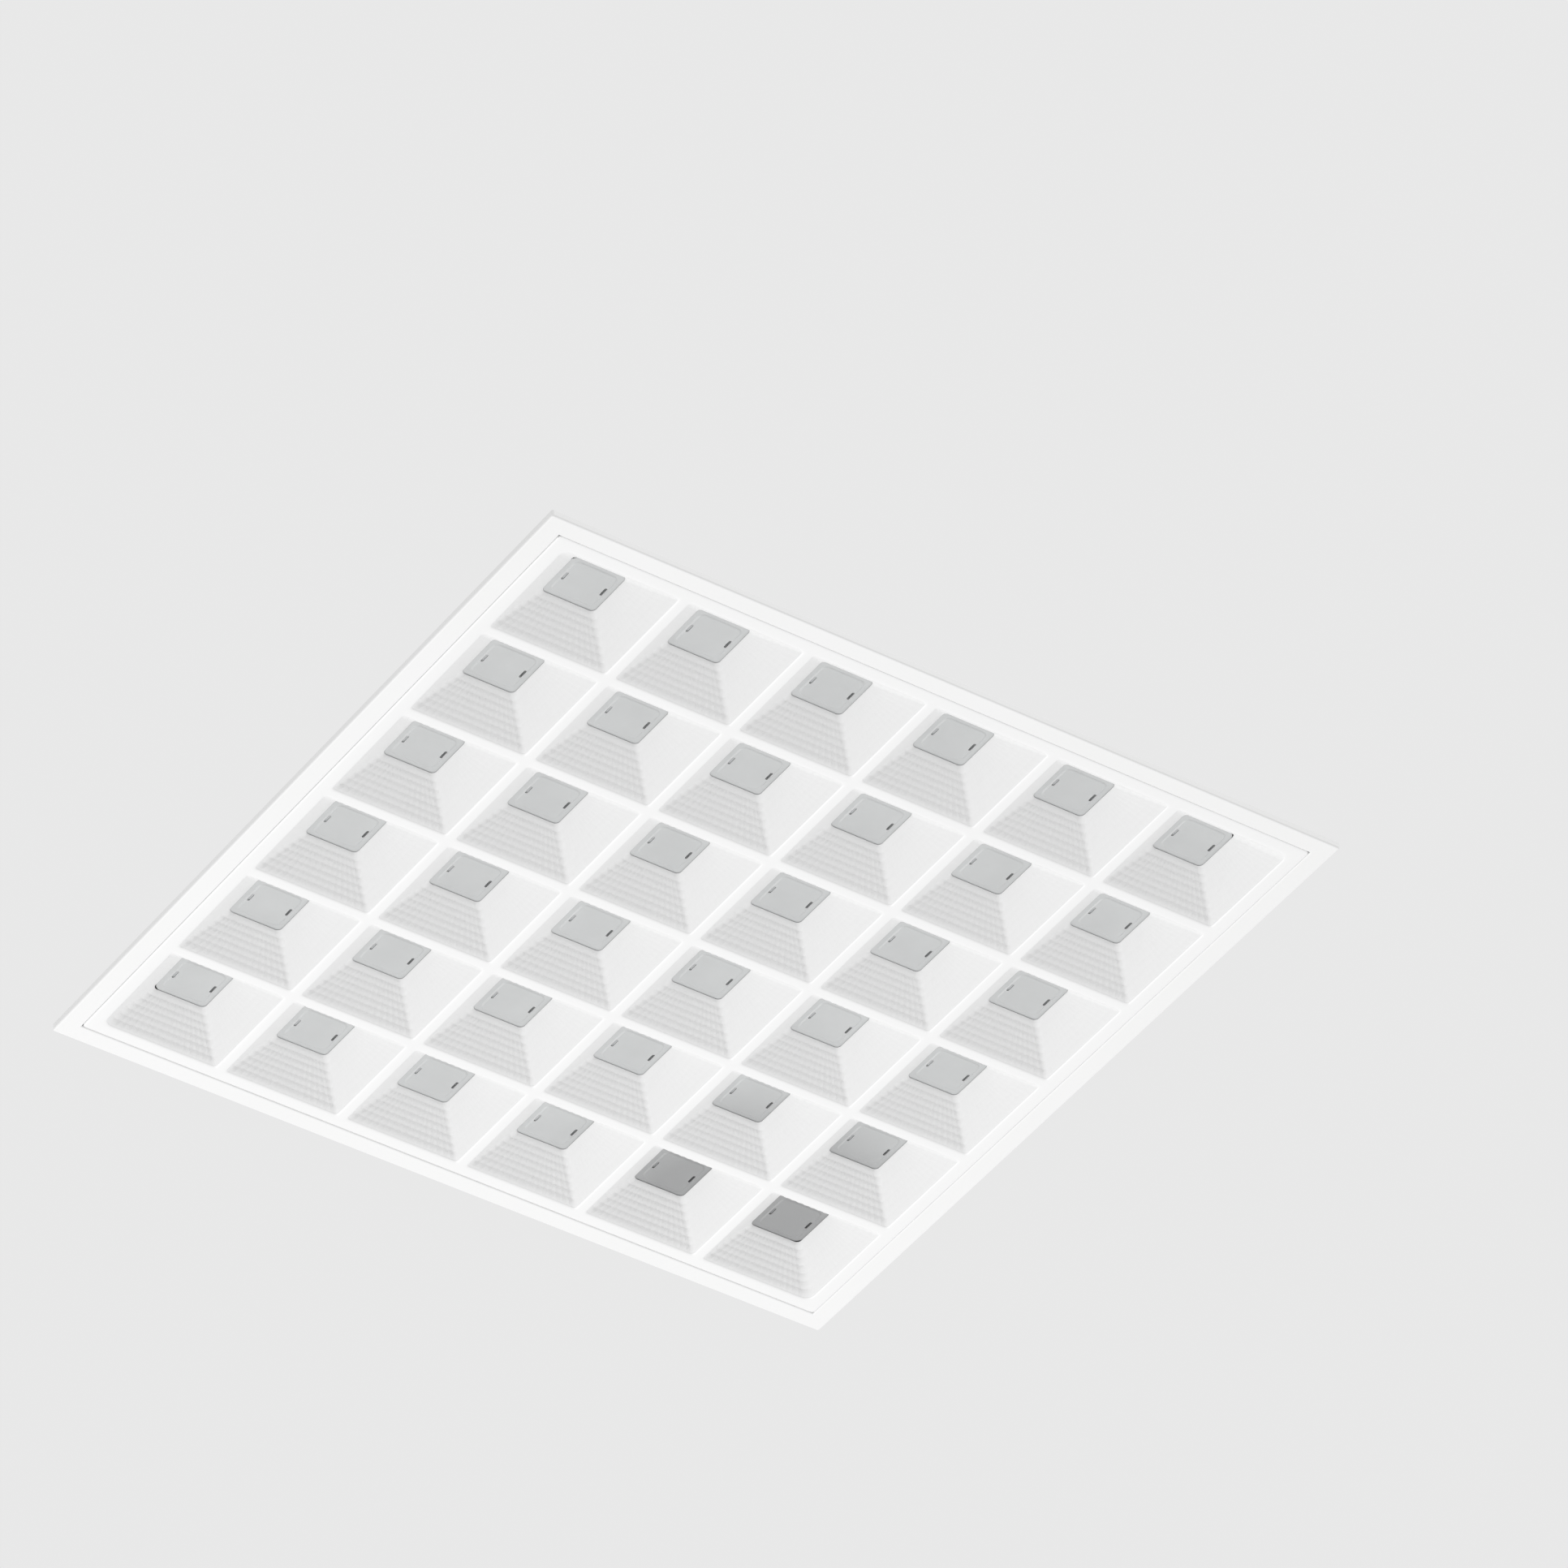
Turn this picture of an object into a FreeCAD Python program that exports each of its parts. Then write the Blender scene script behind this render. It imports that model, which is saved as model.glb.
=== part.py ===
import FreeCAD, Part
import math
import os
import re

import Sketcher
from FreeCAD import Placement, Rotation, Vector

# Recessed square luminaire for a 600 mm ceiling grid, in millimetres.
# The origin is the middle of the visible face. +Z points up into the ceiling.
# The louvre hangs on two pins near its +Y edge and swings down from there.

SIZES = {
    # Rim: a rolled steel channel whose flat strip shows from below
    "frame_side": 595.0,
    "frame_opening": 567.4,
    "frame_sheet": 1.0,
    "frame_edge_height": 5.0,
    "frame_web_height": 9.0,
    "frame_lip_outer": 584.4,
    # Louvre: one moulding of square wells
    "pitch": 92.5,
    "cell_count": 6.0,
    "louvre_side": 565.0,
    "louvre_plate": 2.2,
    "louvre_skirt_height": 8.0,
    "louvre_skirt_wall": 2.0,
    "louvre_boss": 18.5,
    "bar_flat": 4.0,
    "bar_width": 8.4,
    "mouth_depth": 1.0,
    "well_depth": 24.0,
    "throat": 38.8,
    "well_wall": 2.8,
    "overshoot": 1.0,
    # Louvre hinge and catches
    "hinge_inset": 8.0,
    "hinge_height": 3.2,
    "hinge_pin_radius": 1.25,
    "hinge_pin_inner": 272.0,
    "hinge_pin_outer": 288.0,
    "hinge_clearance": 0.05,
    "magnet_length": 25.0,
    "magnet_depth": 2.8,
    "magnet_height": 5.0,
    "magnet_foot": 2.2,
    "magnet_spacing": 240.0,
    "magnet_stand_off": 0.5,
    # Pan: folded steel with sloping sides
    "pan_sheet": 0.8,
    "pan_foot_side": 575.4,
    "pan_top": 30.4,
    "pan_slope_wall": 1.1,
    # Rivets between rim and pan
    "rivet_radius": 1.6,
    "rivet_head_radius": 2.5,
    "rivet_head_height": 1.0,
    "rivet_spacing": 200.0,
    "rivet_line": 579.2,
    # Boards, light sources and lens strips
    "board_length": 524.0,
    "board_width": 40.0,
    "board_thickness": 1.6,
    "package_side": 7.0,
    "package_height": 0.9,
    "lens_strip_length": 502.0,
    "lens_plate": 1.4,
    "lens_foot": 24.6,
    "lens_rib": 1.5,
    "lens_pad": 31.4,
    "lens_pad_radius": 4.0,
    "lens_pad_height": 1.2,
    "lens_slot_length": 7.5,
    "lens_slot_width": 1.8,
    "lens_slot_offset": 14.2,
    "board_screw_radius": 1.5,
    "board_screw_head": 2.9,
    "board_screw_head_height": 1.8,
    "board_screw_hole": 1.8,
    "board_screw_spacing": 185.0,
    "connector_length": 8.0,
    "connector_width": 16.0,
    "connector_height": 3.0,
    "connector_start": 252.5,
    "link_lead_radius": 0.8,
    "link_lead_bow": 3.0,
    "link_lead_offset": 2.0,
    # Driver box and its lid
    "box_length": 300.0,
    "box_width": 120.0,
    "box_height": 26.0,
    "box_sheet": 1.0,
    "lid_gap": 0.4,
    "lid_sheet": 1.0,
    "lid_flange": 5.0,
    "lid_side_gap": 0.5,
    "lid_edge": 59.5,
    "lid_axis_out": 62.8,
    "lid_axis_up": 57.3,
    "knuckle_radius": 2.0,
    "lid_pin_radius": 1.0,
    "lid_pin_end": 1.0,
    "lid_knuckle_from": 100.0,
    "lid_knuckle_to": 120.0,
    "box_knuckle_from": 79.6,
    "box_knuckle_to": 99.6,
    # Driver
    "driver_start": -60.0,
    "driver_length": 180.0,
    "driver_back": -52.0,
    "driver_width": 42.0,
    "driver_height": 21.0,
    "driver_ear": 9.0,
    "driver_ear_height": 3.0,
    "driver_screw_radius": 1.8,
    "driver_screw_head": 3.4,
    "driver_chamfer": 1.5,
    # Terminal block with release levers
    "block_start": -122.0,
    "block_length": 24.0,
    "block_width": 32.0,
    "block_height": 12.6,
    "pole_pitch": 9.5,
    "lever_slot": 7.4,
    "lever_width": 7.0,
    "lever_axis_along": -117.0,
    "lever_axis_up": 42.0,
    "lever_hub_radius": 2.0,
    "lever_pivot_radius": 1.0,
    "lever_pivot_reach": 4.3,
    "lever_length": 12.0,
    "lever_thickness": 1.5,
    "lever_end_gap": 1.0,
    "lever_hub_gap": 0.6,
    "lever_floor_gap": 0.3,
    "lever_pivot_end_gap": 0.2,
    "entry_side": 3.6,
    "entry_depth": 9.0,
    "entry_up": 2.0,
    # Earth stud
    "stud_along": -75.0,
    "stud_across": 42.0,
    "stud_radius": 2.0,
    "stud_height": 13.0,
    "stud_collar_radius": 3.6,
    "stud_collar_height": 5.0,
    "lug_radius": 4.0,
    "lug_thickness": 1.0,
    "nut_radius": 4.0,
    "nut_height": 3.2,
    # Grommets
    "inlet_radius": 5.0,
    "inlet_hole_radius": 6.8,
    "inlet_flange_radius": 8.8,
    "grommet_lip": 2.5,
    "inlet_up": 41.5,
    "inlet_across": 0.0,
    "lead_hole_along": 135.0,
    "lead_hole_radius": 4.5,
    "lead_grommet_radius": 3.0,
    "lead_grommet_flange": 6.5,
    # Leads
    "output_lead_radius": 1.2,
    "output_lead_offset": 1.4,
    "output_lead_bend": 5.0,
    "output_lead_level": 15.0,
    "output_lead_across": 20.0,
    "output_lead_fan": 3.0,
    "output_lead_slant": 70.0,
    "output_lead_drop": 0.1,
    "output_lead_dip": 3.0,
    "wire_radius": 1.1,
    "wire_bend": 5.0,
    "wire_low_level": 5.5,
    "wire_high_level": 12.0,
    "wire_first_across": 26.0,
    "wire_second_across": 20.0,
    "wire_crossing": 12.0,
    "earth_bend": 8.0,
    # Hold-down clips on posts
    "clip_along": 180.0,
    "clip_across": 246.0,
    "clip_reach": 58.0,
    "clip_width": 18.0,
    "clip_thickness": 1.5,
    "clip_tab_height": 9.0,
    "clip_post_radius": 5.0,
    "clip_post_height": 7.6,
    "clip_screw_radius": 2.0,
    "clip_head_radius": 4.0,
    "clip_head_height": 2.4,
    "clip_clearance": 0.1,
    # Suspension holes in the pan
    "suspension_along": 480.0,
    "suspension_across": 370.0,
    "suspension_radius": 2.6,
}

doc = FreeCAD.newDocument("recessed_light")
sheet = doc.addObject("Spreadsheet::Sheet", "Sizes")
for row, (alias, number) in enumerate(SIZES.items(), start=1):
    sheet.set(f"A{row}", alias)
    sheet.set(f"B{row}", str(number))
    sheet.setAlias(f"B{row}", alias)
doc.recompute()

nodes = []
SMALLEST_CUT = 1e-6


def linked(text):
    """The same expression with each size read from the sheet."""
    return re.sub(r"[a-z_]+", lambda word: f"Sizes.{word.group()}", str(text))


def value(text):
    """What an expression of sizes comes to, as a number."""
    return float(sheet.evalExpression(linked(text)))


def bind(item, prop, text):
    """Drive one property by an expression of sizes."""
    item.setExpression(prop, linked(text))


def keep(item, label):
    """Name a finished sub-part."""
    item.Label = label
    nodes.append(item)


# Part primitives and booleans


def block(name, low, size):
    """A box from its low corner and its three sizes."""
    solid = doc.addObject("Part::Box", name)
    for prop, text in zip(("Length", "Width", "Height"), size):
        bind(solid, prop, text)
    for axis, text in zip("xyz", low):
        bind(solid, f"Placement.Base.{axis}", text)
    return solid


def rod(name, foot, radius, length, direction=Vector(0, 0, 1)):
    """A round bar that starts at foot and runs along direction."""
    solid = doc.addObject("Part::Cylinder", name)
    solid.Placement = Placement(Vector(), Rotation(Vector(0, 0, 1), direction))
    bind(solid, "Radius", radius)
    bind(solid, "Height", length)
    for axis, text in zip("xyz", foot):
        bind(solid, f"Placement.Base.{axis}", text)
    return solid


def fused(name, *parts):
    """Several solids made one."""
    union = doc.addObject("Part::MultiFuse", name)
    union.Shapes = list(parts)
    union.Refine = True
    return union


def cut(name, base, *tools):
    """A solid with tools taken out of it."""
    tool = tools[0] if len(tools) == 1 else fused(f"{name}_tools", *tools)
    result = doc.addObject("Part::Cut", name)
    result.Base = base
    result.Tool = tool
    return result


def group(name, parts):
    """Separate solids that share a node."""
    compound = doc.addObject("Part::Compound", name)
    compound.Links = list(parts)
    return compound


# PartDesign bodies


def origin_feature(body, role):
    """One of a body's own origin planes or axes."""
    return next(item for item in body.Origin.OriginFeatures if item.Role == role)


def new_sketch(body, name, plane="XY_Plane", offset="0"):
    """A sketch on an origin plane, moved along the plane's normal."""
    sketch = body.newObject("Sketcher::SketchObject", name)
    sketch.AttachmentSupport = [(origin_feature(body, plane), "")]
    sketch.MapMode = "FlatFace"
    bind(sketch, "AttachmentOffset.Base.z", offset)
    return sketch


def place_point(sketch, line, end, across, up):
    """Hold a point of the sketch at two expressions from its origin."""
    for kind, text in (("DistanceX", across), ("DistanceY", up)):
        number = value(text)
        if number == 0:
            axis = -2 if kind == "DistanceX" else -1
            sketch.addConstraint(Sketcher.Constraint("PointOnObject", line, end, axis))
            continue
        index = sketch.addConstraint(Sketcher.Constraint(kind, -1, 1, line, end, number))
        bind(sketch, f"Constraints[{index}]", text)


def rectangle(sketch, left, bottom, right, top):
    """A rectangle whose four sides are expressions."""
    x_low, y_low, x_high, y_high = (value(text) for text in (left, bottom, right, top))
    corners = [(x_low, y_low), (x_high, y_low), (x_high, y_high), (x_low, y_high)]
    points = [Vector(x, y, 0) for x, y in corners]
    first = sketch.GeometryCount
    for side in range(4):
        sketch.addGeometry(Part.LineSegment(points[side], points[(side + 1) % 4]), False)
    for side in range(4):
        following = first + (side + 1) % 4
        sketch.addConstraint(Sketcher.Constraint("Coincident", first + side, 2, following, 1))
    for side in (0, 2):
        sketch.addConstraint(Sketcher.Constraint("Horizontal", first + side))
    for side in (1, 3):
        sketch.addConstraint(Sketcher.Constraint("Vertical", first + side))
    place_point(sketch, first, 1, left, bottom)
    place_point(sketch, first + 2, 1, right, top)


def square(sketch, side):
    """A square about the sketch's origin."""
    rectangle(sketch, f"-({side}) / 2", f"-({side}) / 2", f"({side}) / 2", f"({side}) / 2")


def circle(sketch, across, up, radius):
    """A circle whose centre and radius are expressions."""
    centre = Vector(value(across), value(up), 0)
    line = sketch.addGeometry(Part.Circle(centre, Vector(0, 0, 1), value(radius)), False)
    index = sketch.addConstraint(Sketcher.Constraint("Radius", line, value(radius)))
    bind(sketch, f"Constraints[{index}]", radius)
    place_point(sketch, line, 3, across, up)


def pad(body, sketch, length, name):
    """Raise a sketch along its plane's normal."""
    feature = body.newObject("PartDesign::Pad", name)
    feature.Profile = sketch
    bind(feature, "Length", length)
    return feature


def pocket(body, sketch, length, name):
    """Cut a sketch's outline out along its plane's normal, and make sure that it cuts."""
    doc.recompute()
    before = body.Shape.Volume
    feature = body.newObject("PartDesign::Pocket", name)
    feature.Profile = sketch
    feature.Reversed = True
    bind(feature, "Length", length)
    doc.recompute()
    if body.Shape.Volume > before - SMALLEST_CUT:
        raise ValueError(f"{name} cuts nothing")


def wedge(body, kind, name, foot_half, foot_height, top_half, top_height):
    """A square frustum about the body's Z axis, added or cut."""
    feature = body.newObject(f"PartDesign::{kind}Wedge", name)
    feature.AttachmentSupport = [(origin_feature(body, "XY_Plane"), "")]
    feature.MapMode = "FlatFace"
    feature.AttachmentOffset = Placement(Vector(), Rotation(Vector(1, 0, 0), 90))
    for prop in ("Xmin", "Zmin"):
        bind(feature, prop, f"-({foot_half})")
    for prop in ("Xmax", "Zmax"):
        bind(feature, prop, foot_half)
    for prop in ("X2min", "Z2min"):
        bind(feature, prop, f"-({top_half})")
    for prop in ("X2max", "Z2max"):
        bind(feature, prop, top_half)
    bind(feature, "Ymin", foot_height)
    bind(feature, "Ymax", top_height)
    return feature


def spread(body, feature, name, columns, rows):
    """Repeat a feature over the grid of cells from its first place."""
    pattern = body.newObject("PartDesign::LinearPattern", name)
    pattern.Originals = [feature]
    pattern.Direction = (origin_feature(body, "X_Axis"), [""])
    pattern.Occurrences = columns
    bind(pattern, "Length", f"pitch * {columns - 1}")
    if rows > 1:
        pattern.Direction2 = (origin_feature(body, "Y_Axis"), [""])
        pattern.Occurrences2 = rows
        bind(pattern, "Length2", f"pitch * {rows - 1}")
    body.Tip = pattern


CELLS = int(value("cell_count"))
FIRST_CELL = "-pitch * (cell_count - 1) / 2"
SIDES = (-1, 1)
SIDE_NAMES = {-1: "left", 1: "right"}
THIRDS = (-1, 0, 1)


def cell_centre(index):
    """The expression for the middle of one row or column of cells."""
    return f"(pitch * ({index} - (cell_count - 1) / 2))"


def well_half(height):
    """Half the width of a well at a height above the mouth."""
    run = "((pitch - bar_width - throat) / 2)"
    return f"((pitch - bar_width) / 2 - {run} * (({height}) - mouth_depth) / (well_depth - mouth_depth))"


# Rim


def make_front_frame():
    body = doc.addObject("PartDesign::Body", "front_frame")
    rings = (
        ("strip", "frame_side", "frame_opening", "0", "frame_sheet"),
        ("edge", "frame_side", "frame_side - 2 * frame_sheet", "0", "frame_edge_height"),
        ("web", "frame_opening + 2 * frame_sheet", "frame_opening", "0", "frame_web_height"),
        ("lip", "frame_lip_outer", "frame_opening", "frame_web_height - frame_sheet", "frame_sheet"),
    )
    for name, outer, inner, foot, height in rings:
        sketch = new_sketch(body, f"frame_{name}_outline", offset=foot)
        square(sketch, outer)
        square(sketch, inner)
        pad(body, sketch, height, f"frame_{name}")
    for side, name in SIDE_NAMES.items():
        start = f"{side} * (frame_opening + frame_sheet) / 2 - frame_sheet"
        sketch = new_sketch(body, f"hinge_hole_{name}_outline", "YZ_Plane", start)
        circle(sketch, "louvre_side / 2 - hinge_inset", "hinge_height", "hinge_pin_radius + hinge_clearance")
        pocket(body, sketch, "2 * frame_sheet", f"hinge_hole_{name}")
    sketch = new_sketch(body, "frame_rivet_outline", offset="frame_web_height - 1.5 * frame_sheet")
    for along, across in rivet_places():
        circle(sketch, along, across, "rivet_radius")
    pocket(body, sketch, "2 * frame_sheet", "frame_rivet_holes")
    keep(body, "front_frame")


def rivet_places():
    """Three rivets along each side of the rim."""
    places = []
    for side in SIDES:
        for step in THIRDS:
            places.append((f"{step} * rivet_spacing", f"{side} * rivet_line / 2"))
            places.append((f"{side} * rivet_line / 2", f"{step} * rivet_spacing"))
    return places


def make_frame_rivets():
    rivets = []
    lip_face = "frame_web_height - frame_sheet"
    for number, (along, across) in enumerate(rivet_places()):
        low_head = rod(f"rivet_{number}_low", (along, across, f"{lip_face} - rivet_head_height"),
                       "rivet_head_radius", "rivet_head_height")
        shank = rod(f"rivet_{number}_shank", (along, across, lip_face),
                    "rivet_radius", "frame_sheet + pan_sheet")
        high_head = rod(f"rivet_{number}_high", (along, across, "frame_web_height + pan_sheet"),
                        "rivet_head_radius", "rivet_head_height")
        rivets.append(fused(f"rivet_{number}", low_head, shank, high_head))
    keep(group("frame_rivets", rivets), "frame_rivets")


# Pan


def make_housing_pan():
    body = doc.addObject("PartDesign::Body", "housing_pan")
    rise = "(pan_top - frame_web_height)"
    inner_rise = "(pan_top - pan_sheet - frame_web_height)"
    wedge(body, "Additive", "pan_outside", "pan_foot_side / 2", "frame_web_height",
          f"pan_foot_side / 2 - {rise}", "pan_top")
    flange = new_sketch(body, "pan_flange_outline", offset="frame_web_height")
    square(flange, "frame_lip_outer")
    pad(body, flange, "pan_sheet", "pan_flange")
    wedge(body, "Subtractive", "pan_inside", "pan_foot_side / 2 - pan_slope_wall", "frame_web_height",
          f"pan_foot_side / 2 - pan_slope_wall - {inner_rise}", "pan_top - pan_sheet")
    rivets = new_sketch(body, "pan_rivet_outline", offset="frame_web_height - pan_sheet")
    for along, across in rivet_places():
        circle(rivets, along, across, "rivet_radius")
    pocket(body, rivets, "3 * pan_sheet", "pan_rivet_holes")
    holes = new_sketch(body, "pan_hole_outline", offset="pan_top - 2 * pan_sheet")
    for along, across in board_screw_places():
        circle(holes, along, across, "board_screw_radius")
    for along in SIDES:
        for across in SIDES:
            circle(holes, f"{along} * suspension_along / 2", f"{across} * suspension_across / 2",
                   "suspension_radius")
    circle(holes, "lead_hole_along", "0", "lead_hole_radius")
    pocket(body, holes, "3 * pan_sheet", "pan_holes")
    keep(body, "housing_pan")


# Boards, light sources and lenses


BOARD_FACE = "(pan_top - pan_sheet - board_thickness)"
PLUG_AXIS = f"({BOARD_FACE} - connector_height / 2)"
NEAR = 0.01


def board_screw_places():
    """Three screws along each board, between the cells."""
    return [(f"{step} * board_screw_spacing", cell_centre(row)) for row in range(CELLS) for step in THIRDS]


def make_board_row(row):
    """One board with its light sources and its lens strip."""
    number = row + 1
    middle = cell_centre(row)
    board = block(f"board_{number}_blank", ("-board_length / 2", f"{middle} - board_width / 2", BOARD_FACE),
                  ("board_length", "board_width", "board_thickness"))
    holes = []
    for step in THIRDS:
        foot = (f"{step} * board_screw_spacing", middle, f"{BOARD_FACE} - board_thickness")
        holes.append(rod(f"board_{number}_hole_{step + 1}", foot, "board_screw_hole", "3 * board_thickness"))
    keep(cut(f"led_board_{number}", board, *holes), f"led_board_{number}")
    packages = []
    size = ("package_side", "package_side", "package_height")
    for column in range(CELLS):
        low = (f"{cell_centre(column)} - package_side / 2", f"{middle} - package_side / 2",
               f"{BOARD_FACE} - package_height")
        packages.append(block(f"package_{number}_{column}", low, size))
    keep(group(f"led_packages_{number}", packages), f"led_packages_{number}")
    make_lens_row(number, middle)


def pad_corner_edges(shape):
    """The upright edges at the corners of the raised lens squares."""
    low, high = value("lens_foot - lens_pad_height"), value("lens_foot")
    names = []
    for index, edge in enumerate(shape.Edges, start=1):
        ends = sorted(point.Point.z for point in edge.Vertexes)
        if len(ends) == 2 and abs(ends[0] - low) < NEAR and abs(ends[1] - high) < NEAR:
            names.append(f"Edge{index}")
    return names


def make_lens_row(number, middle):
    """A strip of six square lenses that closes the wells of one row."""
    body = doc.addObject("PartDesign::Body", f"lens_row_{number}")
    height = f"({BOARD_FACE} - lens_foot)"
    bind(body, "Placement.Base.y", middle)
    strip = new_sketch(body, "lens_strip_outline", offset="lens_foot")
    rectangle(strip, "-lens_strip_length / 2", "-board_width / 2", "lens_strip_length / 2",
              "board_width / 2")
    pad(body, strip, height, "lens_strip")
    pads = new_sketch(body, "lens_pad_outline", offset="lens_foot - lens_pad_height")
    for column in range(CELLS):
        centre = cell_centre(column)
        rectangle(pads, f"{centre} - lens_pad / 2", "-lens_pad / 2", f"{centre} + lens_pad / 2",
                  "lens_pad / 2")
    raised = pad(body, pads, "lens_pad_height", "lens_pads")
    doc.recompute()
    corners = body.newObject("PartDesign::Fillet", "lens_pad_corners")
    corners.Base = (raised, pad_corner_edges(raised.Shape))
    bind(corners, "Radius", "lens_pad_radius")
    channel = new_sketch(body, "lens_channel_outline", offset="lens_foot + lens_plate")
    rectangle(channel, "-lens_strip_length / 2 + lens_rib", "-board_width / 2 + lens_rib",
              "lens_strip_length / 2 - lens_rib", "board_width / 2 - lens_rib")
    pocket(body, channel, height, "lens_channel")
    slots = new_sketch(body, "lens_slot_outline", offset="lens_foot - 2 * lens_pad_height")
    for column in range(CELLS):
        for side in SIDES:
            centre = f"({cell_centre(column)} + {side} * lens_slot_offset)"
            rectangle(slots, f"{centre} - lens_slot_width / 2", "-lens_slot_length / 2",
                      f"{centre} + lens_slot_width / 2", "lens_slot_length / 2")
    pocket(body, slots, "2 * lens_pad_height + 2 * lens_plate", "lens_slots")
    holes = new_sketch(body, "lens_screw_outline", offset="lens_foot - lens_pad_height")
    for step in THIRDS:
        circle(holes, f"{step} * board_screw_spacing", "0", "board_screw_hole")
    pocket(body, holes, "2 * lens_pad_height + lens_plate", "lens_screw_holes")
    keep(body, f"lens_row_{number}")


def make_board_screws():
    screws = []
    for number, (along, across) in enumerate(board_screw_places()):
        head = rod(f"board_screw_{number}_head", (along, across, "lens_foot - board_screw_head_height"),
                   "board_screw_head", "board_screw_head_height")
        shank = rod(f"board_screw_{number}_shank", (along, across, "lens_foot"),
                    "board_screw_radius", "pan_top - lens_foot")
        screws.append(fused(f"board_screw_{number}", head, shank))
    keep(group("board_screws", screws), "board_screws")


def make_board_connectors():
    parts = []
    size = ("connector_length", "connector_width", "connector_height")
    for row in range(CELLS):
        low = ("connector_start", f"{cell_centre(row)} - connector_width / 2",
               f"{BOARD_FACE} - connector_height")
        parts.append(block(f"connector_{row}", low, size))
    keep(group("board_connectors", parts), "board_connectors")


def make_board_link_leads():
    """Two bowed wires from board to board within each half of the boards."""
    radius = value("link_lead_radius")
    height = value(PLUG_AXIS)
    wires = []
    middle_gap = CELLS // 2 - 1
    for row in range(CELLS - 1):
        if row == middle_gap:
            continue
        start = value(f"{cell_centre(row)} + connector_width / 2")
        finish = value(f"{cell_centre(row + 1)} - connector_width / 2")
        for side in SIDES:
            along = value(f"connector_start + connector_length / 2 + {side} * link_lead_offset")
            first = Vector(along, start, height)
            last = Vector(along, finish, height)
            middle = (first + last) / 2 + Vector(value("link_lead_bow"), 0, 0)
            path = Part.Wire([Part.Arc(first, middle, last).toShape()])
            tangent = path.Edges[0].tangentAt(path.Edges[0].FirstParameter)
            profile = Part.Wire([Part.makeCircle(radius, first, tangent)])
            wires.append(path.makePipeShell([profile], True, False))
    item = doc.addObject("Part::Feature", "board_link_leads")
    item.Shape = Part.makeCompound(wires)
    keep(item, "board_link_leads")


# Driver box and lid


def make_driver_box():
    body = doc.addObject("PartDesign::Body", "driver_box")
    outer = new_sketch(body, "box_outline", offset="pan_top")
    rectangle(outer, "-box_length / 2", "-box_width / 2", "box_length / 2", "box_width / 2")
    pad(body, outer, "box_height", "box_walls")
    hollow = new_sketch(body, "box_hollow_outline", offset="pan_top + box_sheet")
    rectangle(hollow, "-box_length / 2 + box_sheet", "-box_width / 2 + box_sheet",
              "box_length / 2 - box_sheet", "box_width / 2 - box_sheet")
    pocket(body, hollow, "box_height", "box_hollow")
    width = "box_knuckle_to - box_knuckle_from"
    for name, start in (("left", "-box_knuckle_to"), ("right", "box_knuckle_from")):
        ear = new_sketch(body, f"box_ear_{name}_outline", "YZ_Plane", start)
        rectangle(ear, "box_width / 2", "lid_axis_up - 2 * knuckle_radius", "lid_axis_out", "lid_axis_up")
        pad(body, ear, width, f"box_ear_{name}")
        knuckle = new_sketch(body, f"box_knuckle_{name}_outline", "YZ_Plane", start)
        circle(knuckle, "lid_axis_out", "lid_axis_up", "knuckle_radius")
        pad(body, knuckle, width, f"box_knuckle_{name}")
    pin_hole = new_sketch(body, "box_pin_outline", "YZ_Plane", "-box_length / 2")
    circle(pin_hole, "lid_axis_out", "lid_axis_up", "lid_pin_radius")
    pocket(body, pin_hole, "box_length", "box_pin_hole")
    inlet = new_sketch(body, "inlet_outline", "YZ_Plane", "-box_length / 2 - box_sheet")
    circle(inlet, "inlet_across", "inlet_up", "inlet_hole_radius")
    pocket(body, inlet, "3 * box_sheet", "inlet_hole")
    lead = new_sketch(body, "lead_outline", offset="pan_top - box_sheet")
    circle(lead, "lead_hole_along", "0", "lead_hole_radius")
    pocket(body, lead, "3 * box_sheet", "lead_hole")
    keep(body, "driver_box")


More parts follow.
